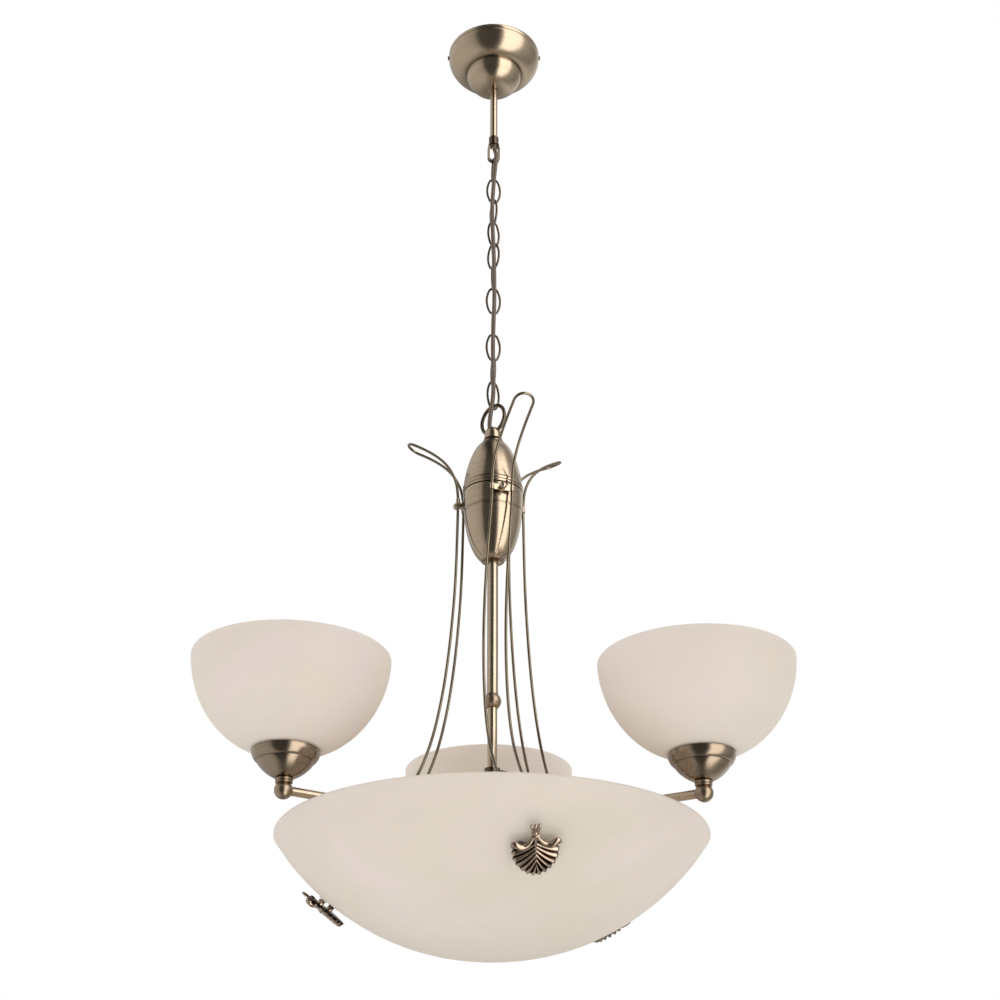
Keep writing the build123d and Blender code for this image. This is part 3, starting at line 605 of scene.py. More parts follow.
# the light that falls on matt surfaces: an even white tent, brighter at the sides, behind, above and below
across = wmath("MULTIPLY", wmath("ABSOLUTE", sp.outputs[0]), 0.62)
behind = wmath("MULTIPLY", wmath("MAXIMUM", sp.outputs[1], 0.0), 0.80)
below = wmath("MULTIPLY", wmath("MAXIMUM", wmath("MULTIPLY", sp.outputs[2], -1.0), 0.0), 0.66)
above = wmath("MULTIPLY", wmath("MAXIMUM", sp.outputs[2], 0.0), 0.62)
tent = wn("ShaderNodeCombineXYZ")
level = wmath("ADD", wmath("ADD", wmath("ADD", wmath("ADD", across, behind), below), above), 0.07)
for k, tint in enumerate((1.0, 0.985, 0.97)):
    wt.links.new(wmath("MULTIPLY", level, tint), tent.inputs[k])
soft_bg = wn("ShaderNodeBackground")
wt.links.new(tent.outputs[0], soft_bg.inputs["Color"])
white = wn("ShaderNodeBackground")
white.inputs["Color"].default_value = (1.0, 1.0, 1.0, 1.0)
white.inputs["Strength"].default_value = 1.0
lp = wn("ShaderNodeLightPath")
gl = wn("ShaderNodeMixShader")
wt.links.new(lp.outputs["Is Glossy Ray"], gl.inputs[0])
wt.links.new(soft_bg.outputs[0], gl.inputs[1])
wt.links.new(bg.outputs[0], gl.inputs[2])
ms = wn("ShaderNodeMixShader")
wt.links.new(lp.outputs["Is Camera Ray"], ms.inputs[0])
wt.links.new(gl.outputs[0], ms.inputs[1])
wt.links.new(white.outputs[0], ms.inputs[2])
wo = wn("ShaderNodeOutputWorld")
wt.links.new(ms.outputs[0], wo.inputs["Surface"])


def area(name, place, target, size, power, colour=(1.0, 0.985, 0.96)):
    d = bpy.data.lights.new(name, "AREA")
    d.shape = "RECTANGLE"
    d.size, d.size_y = size
    d.energy = power
    d.color = colour
    o = bpy.data.objects.new(name, d)
    scene.collection.objects.link(o)
    o.location = place
    o.rotation_euler = (Vector(target) - Vector(place)).to_track_quat("-Z", "Y").to_euler()
    o.visible_camera = False
    o.visible_glossy = False
    return o


area("key_light", (1.9, -2.3, -0.2), (0, 0, -0.85), (1.2, 2.2), 8)
area("fill_light", (-2.6, -1.6, -0.6), (0, 0, -0.9), (1.2, 2.2), 6)
area("back_light", (0.4, 2.8, -0.2), (0, 0, -0.9), (2.4, 1.6), 12)
area("low_light", (0.0, -1.0, -2.6), (0, 0, -1.0), (2.4, 2.0), 12)

fm = Tree("pale_floor")
fb = principled(fm, Roughness=0.7)
fm.link(fm.ramp(fm.noise(fm.coord(), 3.0, 4.0, 0.5), [(0.3, (0.84, 0.83, 0.81)), (0.7, (0.88, 0.87, 0.85))]), fb.inputs["Base Color"])
fm.done(fb.outputs[0])
bm = bmesh.new()
bmesh.ops.create_grid(bm, x_segments=4, y_segments=4, size=9.0)
fme = bpy.data.meshes.new("floor")
bm.to_mesh(fme)
bm.free()
fme.materials.append(fm.m)
floor = bpy.data.objects.new("floor", fme)
scene.collection.objects.link(floor)
floor.location = (0, 0, -2.75)
floor.visible_glossy = False

# ------------------------------------------------------------------ supply cord
CORD = [(0, 0, -13.1), (0, 0, -159.5), (3.4, -8.8, -176.0), (2.8, -13.0, -192.5), (1.0, -12.0, -214.0), (-0.6, -10.2, -237.3),
        (-2.0, -9.2, -264.5), (-1.2, -10.0, -291.4), (-0.4, -9.5, -316.3), (0.6, -10.7, -342.0), (1.1, -12.7, -373.0),
        (1.4, -11.7, -404.5), (0.5, -13.1, -435.6), (-0.5, -11.6, -470.5), (0.0, -12.5, -506.3), (0.6, -10.8, -538.0),
        (-1.4, -8.4, -557.0), (-4.0, -5.0, -573.0), (-4.2, -4.4, -585.0), (0, 0, -608.0), (0, 0, zr(27.2))]
CORD_R = 2.6
cv = bpy.data.curves.new("cord_route", "CURVE")
cv.dimensions = "3D"
cv.resolution_u = 16
sn = cv.splines.new("NURBS")
sn.points.add(len(CORD) - 1)
for i, p in enumerate(CORD):
    sn.points[i].co = (p[0] * MM, p[1] * MM, p[2] * MM, 1.0)
sn.order_u = 3
sn.use_endpoint_u = True
route_object = bpy.data.objects.new("cord_route", cv)
route_mesh = bpy.data.meshes.new_from_object(route_object)
route = np.array([v.co for v in route_mesh.vertices], float)
bpy.data.meshes.remove(route_mesh)
bpy.data.objects.remove(route_object)
bpy.data.curves.remove(cv)
if route[0, 2] < route[-1, 2]:
    route = route[::-1]


def cut_line(line, heights):
    """The line with a point of its own at each height."""
    res = []
    hs = sorted(heights, reverse=True)
    for a, b in zip(line[:-1], line[1:]):
        res.append(a)
        for h in hs:
            if a[2] - 1e-9 > h > b[2] + 1e-9:
                s = (a[2] - h) / (a[2] - b[2])
                res.append(a + s * (b - a))
    res.append(line[-1])
    keep = [res[0]]
    for p in res[1:]:
        if np.linalg.norm(p - keep[-1]) > 2e-5:
            keep.append(p)
    return np.array(keep)


mid = [(LINK1_Z - PITCH * i) * MM for i in range(11)]
cuts = [-0.1640] + mid + [-0.5640, -0.5830]
line = cut_line(route, cuts)
dense = [line[0]]
for a, b in zip(line[:-1], line[1:]):
    m = max(1, int(math.ceil(np.linalg.norm(b - a) / 0.0022)))
    m = min(m, 60)
    dense += [a + (b - a) * k / m for k in range(1, m + 1)]
line = np.array(dense)
P, T, U, V = frames_along(line, up=(1, 0, 0))
CN = 18


def cord_piece(name, i0, i1, body=None):
    verts, faces = [], []
    n = CN
    for i in range(i0, i1 + 1):
        for j in range(n):
            a = 2 * math.pi * j / n
            verts.append(P[i] + CORD_R * MM * (math.cos(a) * U[i] + math.sin(a) * V[i]))
    m = i1 - i0 + 1
    for i in range(m - 1):
        for j in range(n):
            k = (j + 1) % n
            faces.append((i * n + j, i * n + k, (i + 1) * n + k, (i + 1) * n + j))
    faces.append(tuple(range(n))[::-1])
    faces.append(tuple((m - 1) * n + j for j in range(n)))
    o = link_object(name, to_mesh(name, verts, faces, 50.0), body, M_CORD, ("supply_cord",))
    return o


index = [int(np.argmin(np.abs(line[:, 2] - h))) for h in cuts]
top = cord_piece("supply_cord_top", 0, index[0], "ceiling_mount")
# one stretch for each hinge of the chain
joints_z = [-0.183125] + [(LINK1_Z - PITCH * i - 18.475) * MM for i in range(11)] + [RING_Z * MM]
stations = index + []
for k in range(13):
    a, b = stations[k], stations[k + 1]
    o = cord_piece("supply_cord_%02d" % (k + 1), a, b)
    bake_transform(o)
low = cord_piece("supply_cord_low", stations[13], len(line) - 1, "fixture")

# ------------------------------------------------------------------ canopy, drop tube, collar nut
co = arc_pts(60.4, -6.5, 37.3, -33.0, 1.75, 26)
ci = arc_pts(59.4, -6.5, 36.8, -32.0, 1.75, 26)
uo = arc_pts(36.4, -33.6, 7.0, -60.2, 2.0, 30)
ui = arc_pts(35.4, -32.8, 7.0, -59.2, 2.0, 30)
canopy = ([(59.6, -0.4), (60.15, -0.35), (60.4, -0.9), (60.4, -5.4), (60.15, -5.8), (59.95, -6.2), (60.2, -6.7)] + co[2:] + [(37.2, -33.4), (36.6, -33.3), (36.4, -33.45)]
          + uo + [(5.6, -60.2), (5.3, -60.0), (5.3, -59.3)] + list(reversed(ui)) + [(35.4, -32.0)] + list(reversed(ci)) + [(59.4, -0.4)])
turned("canopy_cup", canopy, "ceiling_mount", M_CANOPY, ("ceiling_canopy",), n=192)
rod = soft([(4.8, -18.5, 0.4), (4.8, -155.2, 0.6), (5.3, -156.3, 0.4), (5.3, -157.2, 0.3), (4.6, -157.2, 0.3), (3.4, -155.0, 0.3), (3.4, -18.5, 0.3)])
turned("drop_tube", rod, "ceiling_mount", M_ROD, ("drop_rod",), n=64)
nut = soft([(4.83, -141.9), (5.7, -141.9, 0.4), (6.4, -142.9, 0.5), (6.4, -144.5, 0.3), (5.8, -145.1, 0.3), (6.4, -145.7, 0.3), (6.4, -152.6, 0.5), (5.6, -153.7, 0.4), (4.83, -153.7)])
turned("collar_nut", nut, "ceiling_mount", M_CHAIN, ("rod_collar_nut",), n=64)


# ------------------------------------------------------------------ chain
def link_path(k=26):
    a, b, r1 = 18.475, 8.35, 5.6
    r2 = (b * b + (a - r1) ** 2 - r1 * r1) / (2 * (b - r1))
    cx = b - r2
    ang = math.atan2(a - r1, -cx)
    pts = []
    for i in range(k):          # right side arc, from low to high
        t = -ang + 2 * ang * i / k
        pts.append((cx + r2 * math.cos(t), 0, r2 * math.sin(t)))
    for i in range(k):          # top end arc
        t = ang + (math.pi - 2 * ang) * i / k
        pts.append((r1 * math.cos(t), 0, a - r1 + r1 * math.sin(t)))
    for i in range(k):
        t = math.pi - ang + 2 * ang * i / k
        pts.append((-cx + r2 * math.cos(t), 0, r2 * math.sin(t)))
    for i in range(k):
        t = math.pi + ang + (math.pi - 2 * ang) * i / k
        pts.append((r1 * math.cos(t), 0, -(a - r1) + r1 * math.sin(t)))
    return np.array(pts)


lp_ = link_path()
side_of = np.abs(lp_[:, 2]) + np.where(lp_[:, 0] > 0, 0, 100)
rad = np.full(len(lp_), 1.4)
rad[int(np.argmin(side_of))] = 1.15          # the butt joint of the bent wire
for i in range(11):
    name = "chain_link_%02d" % (i + 1)
    v, f = tube_geometry(lp_ * MM, rad * MM, 16, True, up=(0, 1, 0))
    me = to_mesh("link_wire_%02d" % (i + 1), v, f, 50.0)
    place = Matrix.Translation((0, 0, (LINK1_Z - PITCH * i) * MM)) @ Matrix.Rotation(math.radians(LINK_YAW[i] + (180 if i % 3 == 1 else 0)), 4, "Z")
    link_object("link_wire_%02d" % (i + 1), me, "link_%02d" % (i + 1), M_CHAIN, (name,), place)
ring_pts = np.array([(18.3 * math.cos(t), 0, 18.3 * math.sin(t)) for t in np.linspace(0, 2 * math.pi, 96, endpoint=False)])
rr = np.full(96, 2.2)
rr[8] = 1.9
v, f = tube_geometry(ring_pts * MM, rr * MM, 20, True, up=(0, 1, 0))
link_object("ring_wire", to_mesh("ring_wire", v, f, 50.0), "ring", M_CHAIN, ("suspension_ring",),
            Matrix.Translation((0, 0, RING_Z * MM)) @ Matrix.Rotation(math.radians(RING_YAW), 4, "Z"))

# ------------------------------------------------------------------ egg
RS = 34.67


def egg_up(u):
    return 12.5 + (RS - 12.5) * (1 - (1 - u) ** 1.61) ** (1 / 1.61)


def egg_lo(z):
    u = max(0.0, (-670.4 - z) / 88.25)
    return 4.55 + (RS - 4.55) * (1 - u ** 2.09) ** (1 / 2.09)


def bell(x, c, w):
    return math.exp(-((x - c) / w) ** 2)


up_z = np.linspace(-605.1, -669.5, 130)
uo = [(egg_up((-604.3 - z) / 66.1) + 0.85 * bell(z, -663.8, 1.5) - 0.45 * bell(z, -661.4, 0.5) - 0.45 * bell(z, -666.2, 0.5), z) for z in up_z]
outer = [(8.6, -601.75), (10.7, -601.65), (12.6, -602.1), (13.3, -602.7), (12.9, -603.5), (12.75, -604.3)] + uo + [(RS - 0.25, -669.8), (RS - 0.8, -669.9)]
inner = [(RS - 1.4, -669.9)] + [(egg_up((-604.3 - z) / 66.1) - 1.3, z) for z in up_z[::-1][2:-8:6]] + [(12.6, -604.6), (8.6, -603.0)]
turned("egg_top", outer + inner, "fixture", M_EGG, ("egg_upper_shell",), n=176)
lo_z = np.linspace(-671.6, -755.6, 86)
lo_o = [(egg_lo(z) - 0.42 * bell(z, -695.6, 1.6) + 0.12 * bell(z, -692.6, 1.5), z) for z in lo_z]
outer = [(RS - 0.8, -671.0), (RS - 0.25, -671.15)] + lo_o + [(13.2, -756.3), (12.5, -757.0), (11.6, -757.2), (10.7, -756.6), (6.4, -750.9), (6.2, -750.2), (6.2, -749.2), (6.8, -749.0)]
inner = [(10.6, -754.0)] + [(egg_lo(z) - 1.3, z) for z in lo_z[::-1][3:-4:3]] + [(32.2, -675.0), (32.2, -666.7), (33.2, -666.7), (33.2, -671.0)]
turned("egg_bottom", outer + inner, "fixture", M_EGG, ("egg_lower_shell",), n=176)

# ------------------------------------------------------------------ hairpins
HOLE_R, HW = 178.0, 13.5


def bowl_z(r, R=BOWL_R, D=BOWL_D):
    return -D * (1 - (min(r, R) / R) ** 2.193) ** (1 / 1.151)


HOLE_Z = bowl_z(HOLE_R)
SLOPE = (bowl_z(HOLE_R + 1) - bowl_z(HOLE_R - 1)) / 2
NRM = (SLOPE / math.hypot(SLOPE, 1), -1 / math.hypot(SLOPE, 1))
HOLE_X = math.sqrt(HOLE_R ** 2 - HW ** 2)
ANG = math.degrees(math.atan2(NRM[0], -NRM[1]))
PIN = [(83.0, 60.0), (65.0, 102.0), (54.0, 150.0), (47.0, 200.0), (42.6, 250.0), (39.6, 300.0), (38.35, 382.0),
       (38.35, 404.0), (42.2, 427.0), (55.0, 449.5), (77.5, 468.5), (103.0, 483.0)]
# sideways lean of each hairpin at those points, as it is sprung between the egg and the glass
LEAN = {"front": (-11.0, -12.0, -12.0, -11.0, -9.0, -6.0, 0.0, 0.0, 0.8, 4.0, 7.5, 10.5),
        "left": (0.0,) * 12,
        "right": (0.0, 0.0, 0.0, 0.0, 0.0, 0.0, 0.0, 0.0, -0.6, -3.0, -6.0, -9.0)}


def half_w(z):
    return min(13.0, (24.1 - 2.0 * (z - 300) / 300) / 2)


def polar(az_, r, z, t=0.0):
    a = math.radians(az_)
    return np.array((r * math.cos(a) - t * math.sin(a), r * math.sin(a) + t * math.cos(a), z))


def hairpin_path(name):
    az_, hole = PIN_AZ[name], HOLE_AZ[name]
    strands = []
    w = half_w(PIN[-1][1])
    for s in (-1, 1):
        pts = [polar(hole, HOLE_X + NRM[0] * d, zr(HOLE_Z + NRM[1] * d), s * HW) for d in (7.0, -12.0, -26.0)]
        pts += [polar(az_, r, zr(z), t + s * half_w(z)) for (r, z), t in zip(PIN, LEAN[name])]
        strands.append(pts)
    # the bend at the tip, half a turn in the plane of the last two stretches
    centre = (strands[0][-1] + strands[1][-1]) / 2
    before = (strands[0][-2] + strands[1][-2]) / 2
    along = (centre - before) / np.linalg.norm(centre - before)
    across = strands[1][-1] - strands[0][-1]
    across -= (across @ along) * along
    across /= np.linalg.norm(across)
    centre = centre - along * w
    strands[0][-1], strands[1][-1] = centre - w * across, centre + w * across
    curves = [quad_spline(p, 16) for p in strands]
    bend = [centre + w * (math.sin(t) * along - math.cos(t) * across) for t in np.linspace(0, math.pi, 25)[1:-1]]
    return np.vstack([curves[0], bend, curves[1][::-1]])


for pname, az_ in PIN_AZ.items():
    path = hairpin_path(pname)
    tube("pin_wire_" + pname, path, np.full(len(path), 1.6), "fixture", M_WIRE, "bronze_wire", ("hairpin_" + pname,), n=16, up=tuple(polar(az_, 0, 0, 1.0)))

# ------------------------------------------------------------------ centre rod and ball
BZ = zr(152.0)
turned("centre_tube_upper", soft([(4.25, BZ + 5), (6.15, BZ + 5, 0.3), (6.15, -607, 0.3), (4.25, -607)]), "fixture", M_ROD, ("upper_rod",), n=72)
turned("centre_tube_lower", soft([(3.9, zr(32)), (5.3, zr(32), 0.3), (5.3, BZ - 5, 0.3), (3.9, BZ - 5)]), "fixture", M_ROD, ("lower_rod",), n=72)
bo = [(9.6 * math.sin(t), BZ + 9.6 * math.cos(t)) for t in np.linspace(0.66, math.pi - 0.58, 40)]
bo = [(4.4, BZ + 7.7), (6.2, BZ + 8.3), (6.2 + 0.3, BZ + 7.8)] + bo + [(5.6, BZ - 8.4), (5.33, BZ - 8.1), (4.4, BZ - 7.6)]
turned("centre_ball_turned", bo, "fixture", M_BALL, ("centre_ball",), n=96)

# ------------------------------------------------------------------ arms
tag_body = "fixture"
for i, az_ in enumerate(ARM_AZ):
    tag = "_%d" % (i + 1)
    c, s = math.cos(math.radians(az_)), math.sin(math.radians(az_))
    X, Y = ARM_R * c, ARM_R * s
    # tube: turned about its own axis, which lies along the arm
    rot = Matrix.Rotation(math.radians(az_), 4, "Z") @ Matrix.Rotation(math.radians(90), 4, "Y")
    prof = soft([(3.3, 20.9), (4.5, 20.9, 0.3), (4.5, 228.8, 0.35), (5.2, 229.1, 0.25), (5.2, 230.4, 0.25), (4.5, 230.7, 0.2), (4.5, 231.7), (3.3, 231.7)])
    me = lathe_mesh("arm_pipe" + tag, prof, 56)
    link_object("arm_pipe" + tag, me, tag_body, M_ROD, ("arm_tube" + tag,), Matrix.Translation((0, 0, zr(ARM_Z) * MM)) @ rot)
    ball = [(9.2 * math.sin(t), zr(ARM_Z) - 9.2 * math.cos(t)) for t in np.linspace(0.0, 2.42, 44)]
    ball += soft([(6.0, zr(20.4)), (6.9, zr(20.5), 0.5), (8.4, zr(21.2), 0.4), (8.7, zr(22.2), 0.5), (7.7, zr(23.1), 0.3), (8.6, zr(23.7), 0.3), (9.1, zr(24.8), 0.6),
                  (8.8, zr(25.8), 0.4), (8.0, zr(26.55), 0.3), (4.8, zr(26.6)), (4.8, zr(41.0), 0.4), (3.2, zr(41.0)), (3.2, zr(30.0)), (0, zr(30.0))], closed=False)
    turned("arm_knob" + tag, ball, tag_body, M_BALL, ("arm_ball" + tag,), X, Y, n=88)
    c1 = arc_pts(34.0, zr(52.2), 28.9, zr(43.2), 1.5, 18)
    c2 = arc_pts(28.0, zr(42.4), 9.0, zr(26.6), 1.32, 34)
    d1 = arc_pts(33.1, zr(53.0), 28.2, zr(44.2), 1.5, 14)
    d2 = arc_pts(27.1, zr(43.0), 9.0, zr(27.4), 1.32, 28)
    cup = ([(33.2, zr(53.6)), (33.6, zr(54.0)), (34.1, zr(53.9)), (34.35, zr(53.4)), (34.2, zr(52.8))] + c1 + [(28.5, zr(42.95)), (28.15, zr(42.7))] + c2
           + [(5.2, zr(26.6)), (4.85, zr(26.8)), (4.85, zr(27.4)), (5.4, zr(27.6))] + list(reversed(d2)) + [(27.2, zr(43.6))] + list(reversed(d1)))
    turned("cup_spun" + tag, cup, tag_body, M_CUP_SHADED, ("shade_cup" + tag,), X, Y, n=128)


def shade_z(r, off=0.0):
    R = SHADE_R - off
    return SHADE_TOP - (SHADE_D - off) * (1 - (min(r, R) / R) ** 2.25) ** (1 / 1.85)


def wall(R, zfun, r0, steps, rim_drop):
    """Points of a curved wall, even along its length, from radius r0 to just under the rim."""
    t = np.linspace(0, 1, 400)
    r = r0 + (R - r0) * (1 - (1 - t) ** 2.6)
    z = np.array([zfun(x) for x in r])
    ok = z <= zfun(R) - rim_drop
    r, z = r[ok], z[ok]
    s = np.concatenate([[0], np.cumsum(np.hypot(np.diff(r), np.diff(z)))])
    q = np.linspace(0, s[-1], steps)
    return [(float(np.interp(v, s, r)), float(np.interp(v, s, z))) for v in q]


for i, az_ in enumerate(ARM_AZ):
    tag = "_%d" % (i + 1)
    c, s = math.cos(math.radians(az_)), math.sin(math.radians(az_))
    o_ = wall(SHADE_R, lambda r: shade_z(r), 20.4, 60, 1.6)
    i_ = wall(SHADE_R - SHADE_T, lambda r: shade_z(r, SHADE_T), 20.4, 56, 1.6)
    zt = SHADE_TOP
    rim = [(SHADE_R, zt - 1.5), (SHADE_R - 0.15, zt - 0.8), (SHADE_R - 0.6, zt - 0.25), (SHADE_R - 1.3, zt), (SHADE_R - 2.0, zt), (SHADE_R - SHADE_T + 1.3, zt),
           (SHADE_R - SHADE_T + 0.6, zt - 0.25), (SHADE_R - SHADE_T + 0.15, zt - 0.8), (SHADE_R - SHADE_T, zt - 1.5)]
    outline = [(a, zr(b)) for a, b in o_ + rim + i_[::-1]]
    turned("shade_alabaster" + tag, outline, "fixture", M_SHADES[i], ("shade_glass" + tag,), ARM_R * c, ARM_R * s, n=224)
    # lamp holder with its screw shell
    base = soft([(0, zr(27.9)), (8.4, zr(27.9), 0.5), (12.2, zr(29.6), 0.8), (14.0, zr(31.4), 0.8), (14.5, zr(38.0), 1.5), (19.9, zr(42.0), 1.5), (19.9, zr(48.6), 0.6), (23.4, zr(49.4), 0.5),
                 (23.4, zr(51.75), 0.5), (19.9, zr(51.75), 0.3)], closed=False)
    base += [(19.9 - 0.35 * (1 - math.cos(2 * math.pi * q * 8)) / 2, zr(52.4 + 19.0 * q)) for q in np.linspace(0, 1, 97)]
    base += soft([(19.9, zr(71.8)), (18.6, zr(73.0), 0.8), (14.6, zr(73.0), 0.6), (14.2, zr(71.5)), (14.2, zr(48.2)), (0, zr(48.2))], closed=False)
    turned("holder_body" + tag, base, "fixture", M_SOCKET, ("shade_lampholder" + tag,), ARM_R * c, ARM_R * s, n=96)
    shell_ = [(14.15, zr(70.5)), (14.15, zr(49.5))]
    shell_ += [(13.55 + 0.28 * math.sin(2 * math.pi * q * 5.5), zr(49.5 + 21.0 * q)) for q in np.linspace(0, 1, 90)]
    turned("holder_screw_shell" + tag, shell_, "fixture", M_THREAD, (), ARM_R * c, ARM_R * s, n=72)
    pad = soft([(0, zr(48.25)), (6.5, zr(48.25), 0.4), (6.5, zr(49.0), 0.3), (2.6, zr(49.4), 0.3), (2.2, zr(50.8), 0.6), (0, zr(51.0))], closed=False)
    turned("holder_contact" + tag, pad, "fixture", M_THREAD, (), ARM_R * c, ARM_R * s, n=40)

# ------------------------------------------------------------------ bowl
o_ = wall(BOWL_R, lambda r: bowl_z(r), 0.0, 96, 2.0)
Ri, Di = BOWL_R - BOWL_T, BOWL_D - BOWL_T
i_ = wall(Ri, lambda r: bowl_z(r, Ri, Di), 0.0, 90, 2.0)
rim = [(BOWL_R, -1.9), (BOWL_R - 0.2, -1.0), (BOWL_R - 0.8, -0.3), (BOWL_R - 1.6, 0), (BOWL_R - 2.5, 0), (BOWL_R - BOWL_T + 1.6, 0), (BOWL_R - BOWL_T + 0.8, -0.3),
       (BOWL_R - BOWL_T + 0.2, -1.0), (BOWL_R - BOWL_T, -1.9)]
turned("bowl_alabaster", [(a, zr(b)) for a, b in o_ + rim + i_[::-1]], "fixture", M_BOWL, ("bowl_glass",), n=288)

# ------------------------------------------------------------------ shell ornaments
# each rib's upper edge: where it ends on the outline (x down the slope, y outward) and where it starts on the centre line
TIPS = [(-2.6, 21.2, -9.6), (5.2, 21.4, -6.2), (12.2, 19.4, -2.4), (17.8, 15.8, 2.0), (22.3, 11.4, 6.8), (25.4, 6.3, 11.8), (26.8, 0.0, 16.4)]
# the rolled shoulder: from the neck it sags, then rises and rolls in on itself
WING = [(-15.2, 1.4, 9.4), (-12.6, 3.4, 10.0), (-9.0, 6.0, 10.6), (-6.2, 9.6, 11.1), (-5.6, 13.6, 11.4), (-7.8, 17.0, 11.5), (-10.0, 19.2, 11.2), (-9.6, 21.6, 10.6), (-6.8, 22.0, 10.2), (-5.4, 20.2, 10.0)]
WING_R = [1.4, 1.7, 2.2, 2.7, 3.1, 3.2, 2.9, 2.6, 2.3, 1.2]
RIBS = 6


def rib_line(k, t):
    """A point on edge k of the ribs (k may be a fraction), t from the centre line to the outline; edge 0 follows the shoulder."""
    q = np.arange(len(TIPS)) + 1.0
    kk = max(k, 1.0)
    ex, ey, sx = (np.interp(kk, q, [tip[i] for tip in TIPS]) for i in range(3))
    last = (kk - 1.0) / RIBS
    start = np.array((sx, 0.4 - 0.7 * last))
    end = np.array((ex, ey))
    mid_ = (start + end) / 2 + np.array((2.2 - 0.15 * kk, 1.0 * (1.0 - last) ** 0.5))
    p = (1 - t) ** 2 * start + 2 * t * (1 - t) * mid_ + t * t * end
    if k < 1:
        at = np.linspace(0, 1, 6)
        w = np.array([np.interp(t, at, [v[i] for v in WING[:6]]) for i in range(2)])
        p = k * p + (1 - k) * w
    return p


def shell_verts():
    verts, faces, painted_light_level = [], [], []

    def add(v, h):
        verts.append(tuple(v))
        painted_light_level.append(h)
        return len(verts) - 1

    PER, NT = 12, 22
    A = (RIBS + 1) * PER
    for s in (-1, 1):
        topg, botg = [], []
        for a in range(A + 1):
            k = a / PER
            fr = k - math.floor(k) if a < A else 1.0
            ridge = max(math.sin(math.pi * fr), 0.0) ** 1.45
            if k < 1:
                ridge *= 0.35
            rt, rb = [], []
            for b in range(NT + 1):
                t = b / NT
                p = rib_line(k, t)
                grow = 0.30 + 0.70 * math.sin(min(1.0, t * 1.2 + 0.1) * math.pi / 2)
                if t > 0.8:
                    q = (t - 0.8) / 0.2
                    d = p - np.array((2.0, 0.0))
                    p = p + d / max(np.linalg.norm(d), 1e-6) * (1.7 * ridge - 0.5) * q * q
                dome = 2.2 - 2.0 * (t ** 1.6)
                endfall = 1.0 if t < 0.9 else math.cos((t - 0.9) / 0.1 * math.pi / 2) ** 0.6
                h = 8.3 + dome * 0.9 + 3.1 * ridge * grow * endfall
                # painted shade: rib hollows and the outline edge get a low level, rib tops a high one
                rt.append(add((p[0], s * p[1], h if b < NT else 7.2), (0.12 + 0.88 * ridge) * (1.0 if b < NT else 0.3)))
                rb.append(add((p[0], s * p[1], 6.0 + (0.5 if b == NT else 0.0)), 0.0))
            topg.append(rt)
            botg.append(rb)
        for a in range(A):
            for b in range(NT):
                faces.append((topg[a][b], topg[a + 1][b], topg[a + 1][b + 1], topg[a][b + 1]))
                faces.append((botg[a][b], botg[a][b + 1], botg[a + 1][b + 1], botg[a + 1][b]))
            faces.append((topg[a][NT], topg[a + 1][NT], botg[a + 1][NT], botg[a][NT]))
            faces.append((topg[a][0], botg[a][0], botg[a + 1][0], topg[a + 1][0]))
        for b in range(NT):
            faces.append((topg[0][b], topg[0][b + 1], botg[0][b + 1], botg[0][b]))
            faces.append((topg[A][b], botg[A][b], botg[A][b + 1], topg[A][b + 1]))
    return verts, faces, painted_light_level


def shell_mesh(name, twist):
    """twist turns the ornament on the wall, while its two bosses stay on the wires"""
    verts, faces, painted_light_level = shell_verts()

    def tube(path, radii, n=14, low=0.15):
        path, radii = np.array(path, float), np.array(radii, float)
        v, f = tube_geometry(path, radii, n, False, up=(0, 0, 1))
        base = len(verts)
        for x in v:
            q = int(np.argmin(((path - np.array(x)) ** 2).sum(1)))
            verts.append(tuple(x))
            # painted shade: the side of a roll facing the glass gets a low level, the outward side a high one
            painted_light_level.append(low + (1.0 - low) * min(1.0, max(0.0, 0.62 + 0.75 * (x[2] - path[q][2]) / radii[q])))
        faces.extend(tuple(i + base for i in face) for face in f)

    # centre ridge, which tapers down between the ribs
    xs = np.linspace(-15.0, 15.5, 20)
    tube([(x, 0, 10.3 - 0.6 * (x + 15) / 30.5) for x in xs], [1.9 - 1.3 * ((x + 15) / 30.5) ** 0.7 for x in xs])
    # collar and the flared stem with three flutes
    tube([(-15.6, y, 9.4 + 0.5 * math.cos(y / 4.2 * math.pi / 2)) for y in np.linspace(-4.2, 4.2, 9)], [0.7, 1.1, 1.3, 1.35, 1.35, 1.35, 1.3, 1.1, 0.7])
    tube([(x, 0, 8.0) for x in np.linspace(-20.0, -14.6, 6)], [2.2, 2.6, 2.8, 2.8, 2.6, 2.0])
    for y in (-1, 0, 1):
        path = [(-15.8, y * 1.9, 8.8), (-18.2, y * 2.1, 9.0), (-21.2, y * 2.5, 9.2), (-24.6, y * 3.2, 9.4), (-27.6, y * 3.9, 9.5), (-28.4, y * 4.0, 9.5)]
        tube(path, [1.2, 1.3, 1.35, 1.5, 1.55, 0.8])
    for s in (-1, 1):
        sp = quad_spline([(x, s * y, z) for x, y, z in WING], 6)
        tube(sp, np.interp(np.linspace(0, 1, len(sp)), np.linspace(0, 1, len(WING_R)), WING_R), 18)
    ct, st = math.cos(math.radians(twist)), math.sin(math.radians(twist))
    verts[:] = [(x * ct - y * st, x * st + y * ct, z) for x, y, z in verts]
    # bosses that take the two wire ends
    for s in (-1, 1):
        tube([(0.0, s * HW, z) for z in (1.6, 1.9, 6.6)], [3.2, 3.6, 3.6], 24, 0.7)
    me = to_mesh(name, [tuple(c * MM for c in v) for v in verts], faces, 60.0)
    # per-vertex level of painted light, read by the shell material
    me.attributes.new("rib_painted_light", "FLOAT", "POINT").data.foreach_set("value", painted_light_level)
    return me


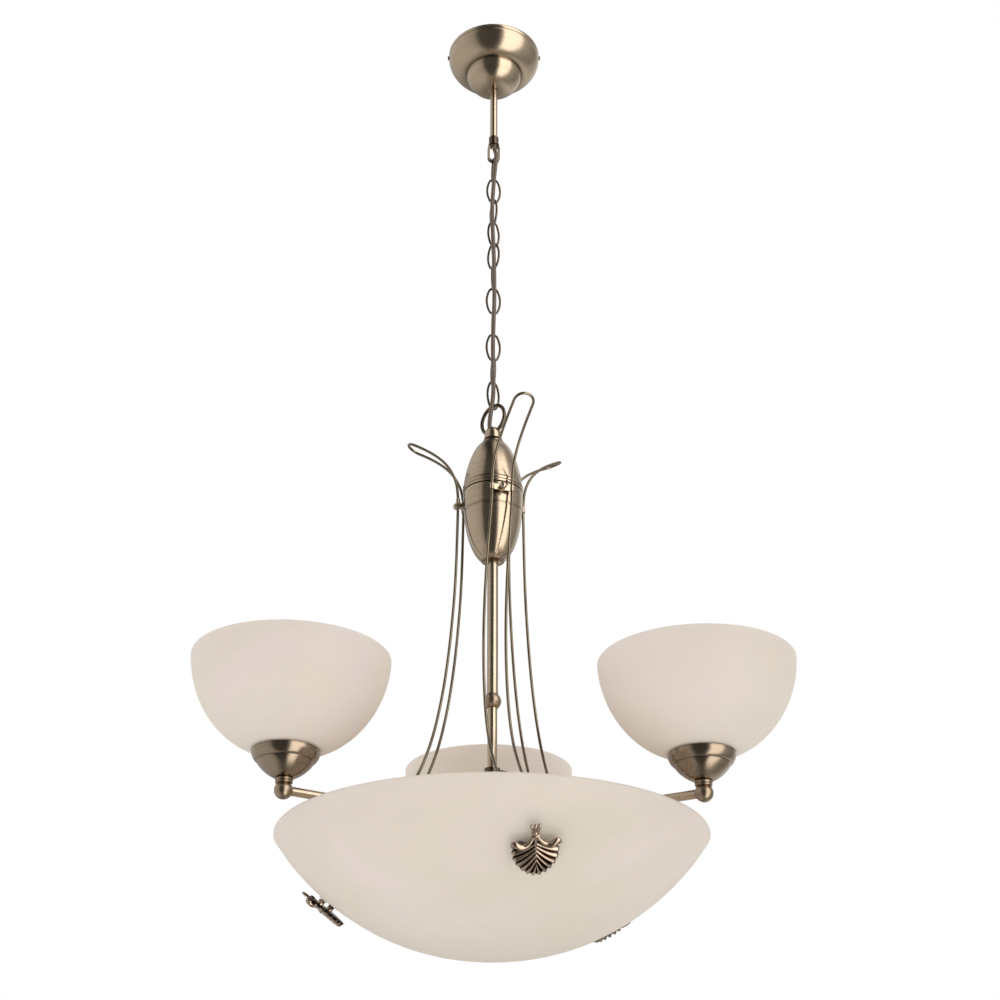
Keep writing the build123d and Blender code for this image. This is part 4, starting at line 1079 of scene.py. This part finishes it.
def hole_matrix(az_, s=0.0):
    return (Matrix.Rotation(math.radians(az_), 4, "Z") @ Matrix.Translation((HOLE_X * MM, s * MM, zr(HOLE_Z) * MM))
            @ Matrix.Rotation(math.radians(180 - ANG), 4, "Y"))


for pname, az_ in HOLE_AZ.items():
    link_object("shell_cast_" + pname, shell_mesh("shell_cast_" + pname, {"front": 11.0, "left": 0.0, "right": 0.0}[pname]), "fixture", M_SHELL, ("shell_ornament_" + pname,), hole_matrix(az_))

# ------------------------------------------------------------------ lamp holders in the bowl
for i, az_ in enumerate((35.0, 155.0)):
    tag = "_%d" % (i + 1)
    base = soft([(0, 0.0), (13.0, 0.0, 0.8), (14.5, 1.4, 0.8), (14.5, 10.4, 1.5), (19.9, 14.4, 1.5), (19.9, 20.0, 0.4)], closed=False)
    base += [(19.9 - 0.35 * (1 - math.cos(2 * math.pi * q * 9)) / 2, 21.0 + 22.0 * q) for q in np.linspace(0, 1, 109)]
    base += soft([(19.9, 43.6), (18.6, 45.0, 0.8), (14.6, 45.0, 0.6), (14.2, 43.5), (14.2, 20.2), (0, 20.2)], closed=False)
    place = (Matrix.Rotation(math.radians(az_), 4, "Z") @ Matrix.Translation((33.05 * MM, 0, zr(-26.0) * MM)) @ Matrix.Rotation(math.radians(90), 4, "Y"))
    link_object("bowl_holder_body" + tag, lathe_mesh("bowl_holder_body" + tag, base, 96), "fixture", M_SOCKET, ("bowl_lampholder" + tag,), place)
    shell_ = [(14.15, 42.5), (14.15, 21.5)] + [(13.55 + 0.28 * math.sin(2 * math.pi * q * 5.5), 21.5 + 21.0 * q) for q in np.linspace(0, 1, 90)]
    link_object("bowl_holder_screw_shell" + tag, lathe_mesh("bowl_holder_screw_shell" + tag, shell_, 72), "fixture", M_THREAD, (), place)
    nip = soft([(3.0, -8.0), (4.8, -8.0, 0.4), (4.8, -7.2), (7.4, -7.0, 0.6), (7.4, -2.2, 0.6), (4.8, -2.1), (4.8, 0.1), (3.0, 0.1)])
    link_object("bowl_holder_nut" + tag, lathe_mesh("bowl_holder_nut" + tag, nip, 6, 20.0), "fixture", M_STEEL, (), place)

# ------------------------------------------------------------------ finishes of the pieces that stay as they are
# the egg_top_bushing takes the near black painted shadow of the gap under the finial cap
FINISH = {"ceiling_crossbar": M_STEEL, "rod_lock_nuts": M_STEEL, "canopy_screws": M_ROD, "canopy_terminal_block": M_PLASTIC, "hanger_stirrup": M_CHAIN,
          "finial_cap": M_EGG, "egg_top_bushing": M_SHADOW_GAP, "hairpin_clips": M_ROD, "clip_ball_screws": M_ROD, "hub_body": M_CUP_SHADED, "hub_cover": M_CUP_SHADED,
          "hub_terminal_block": M_PLASTIC, "shade_clamp_rings": M_PLASTIC, "glass_washers": M_RUBBER, "bowl_lamp_bracket": M_CHAIN}
for node, mat in FINISH.items():
    o = NODES[node]
    o.data.materials.clear()
    o.data.materials.append(mat)
    if node in ("ceiling_crossbar", "hanger_stirrup", "bowl_lamp_bracket", "hairpin_clips", "canopy_terminal_block", "hub_terminal_block", "rod_lock_nuts"):
        b_ = o.modifiers.new("soft_edges", "BEVEL")
        b_.width = 0.0003
        b_.segments = 2
        b_.limit_method = "ANGLE"
        b_.angle_limit = math.radians(40)
        b_.harden_normals = False

bpy.context.view_layer.update()
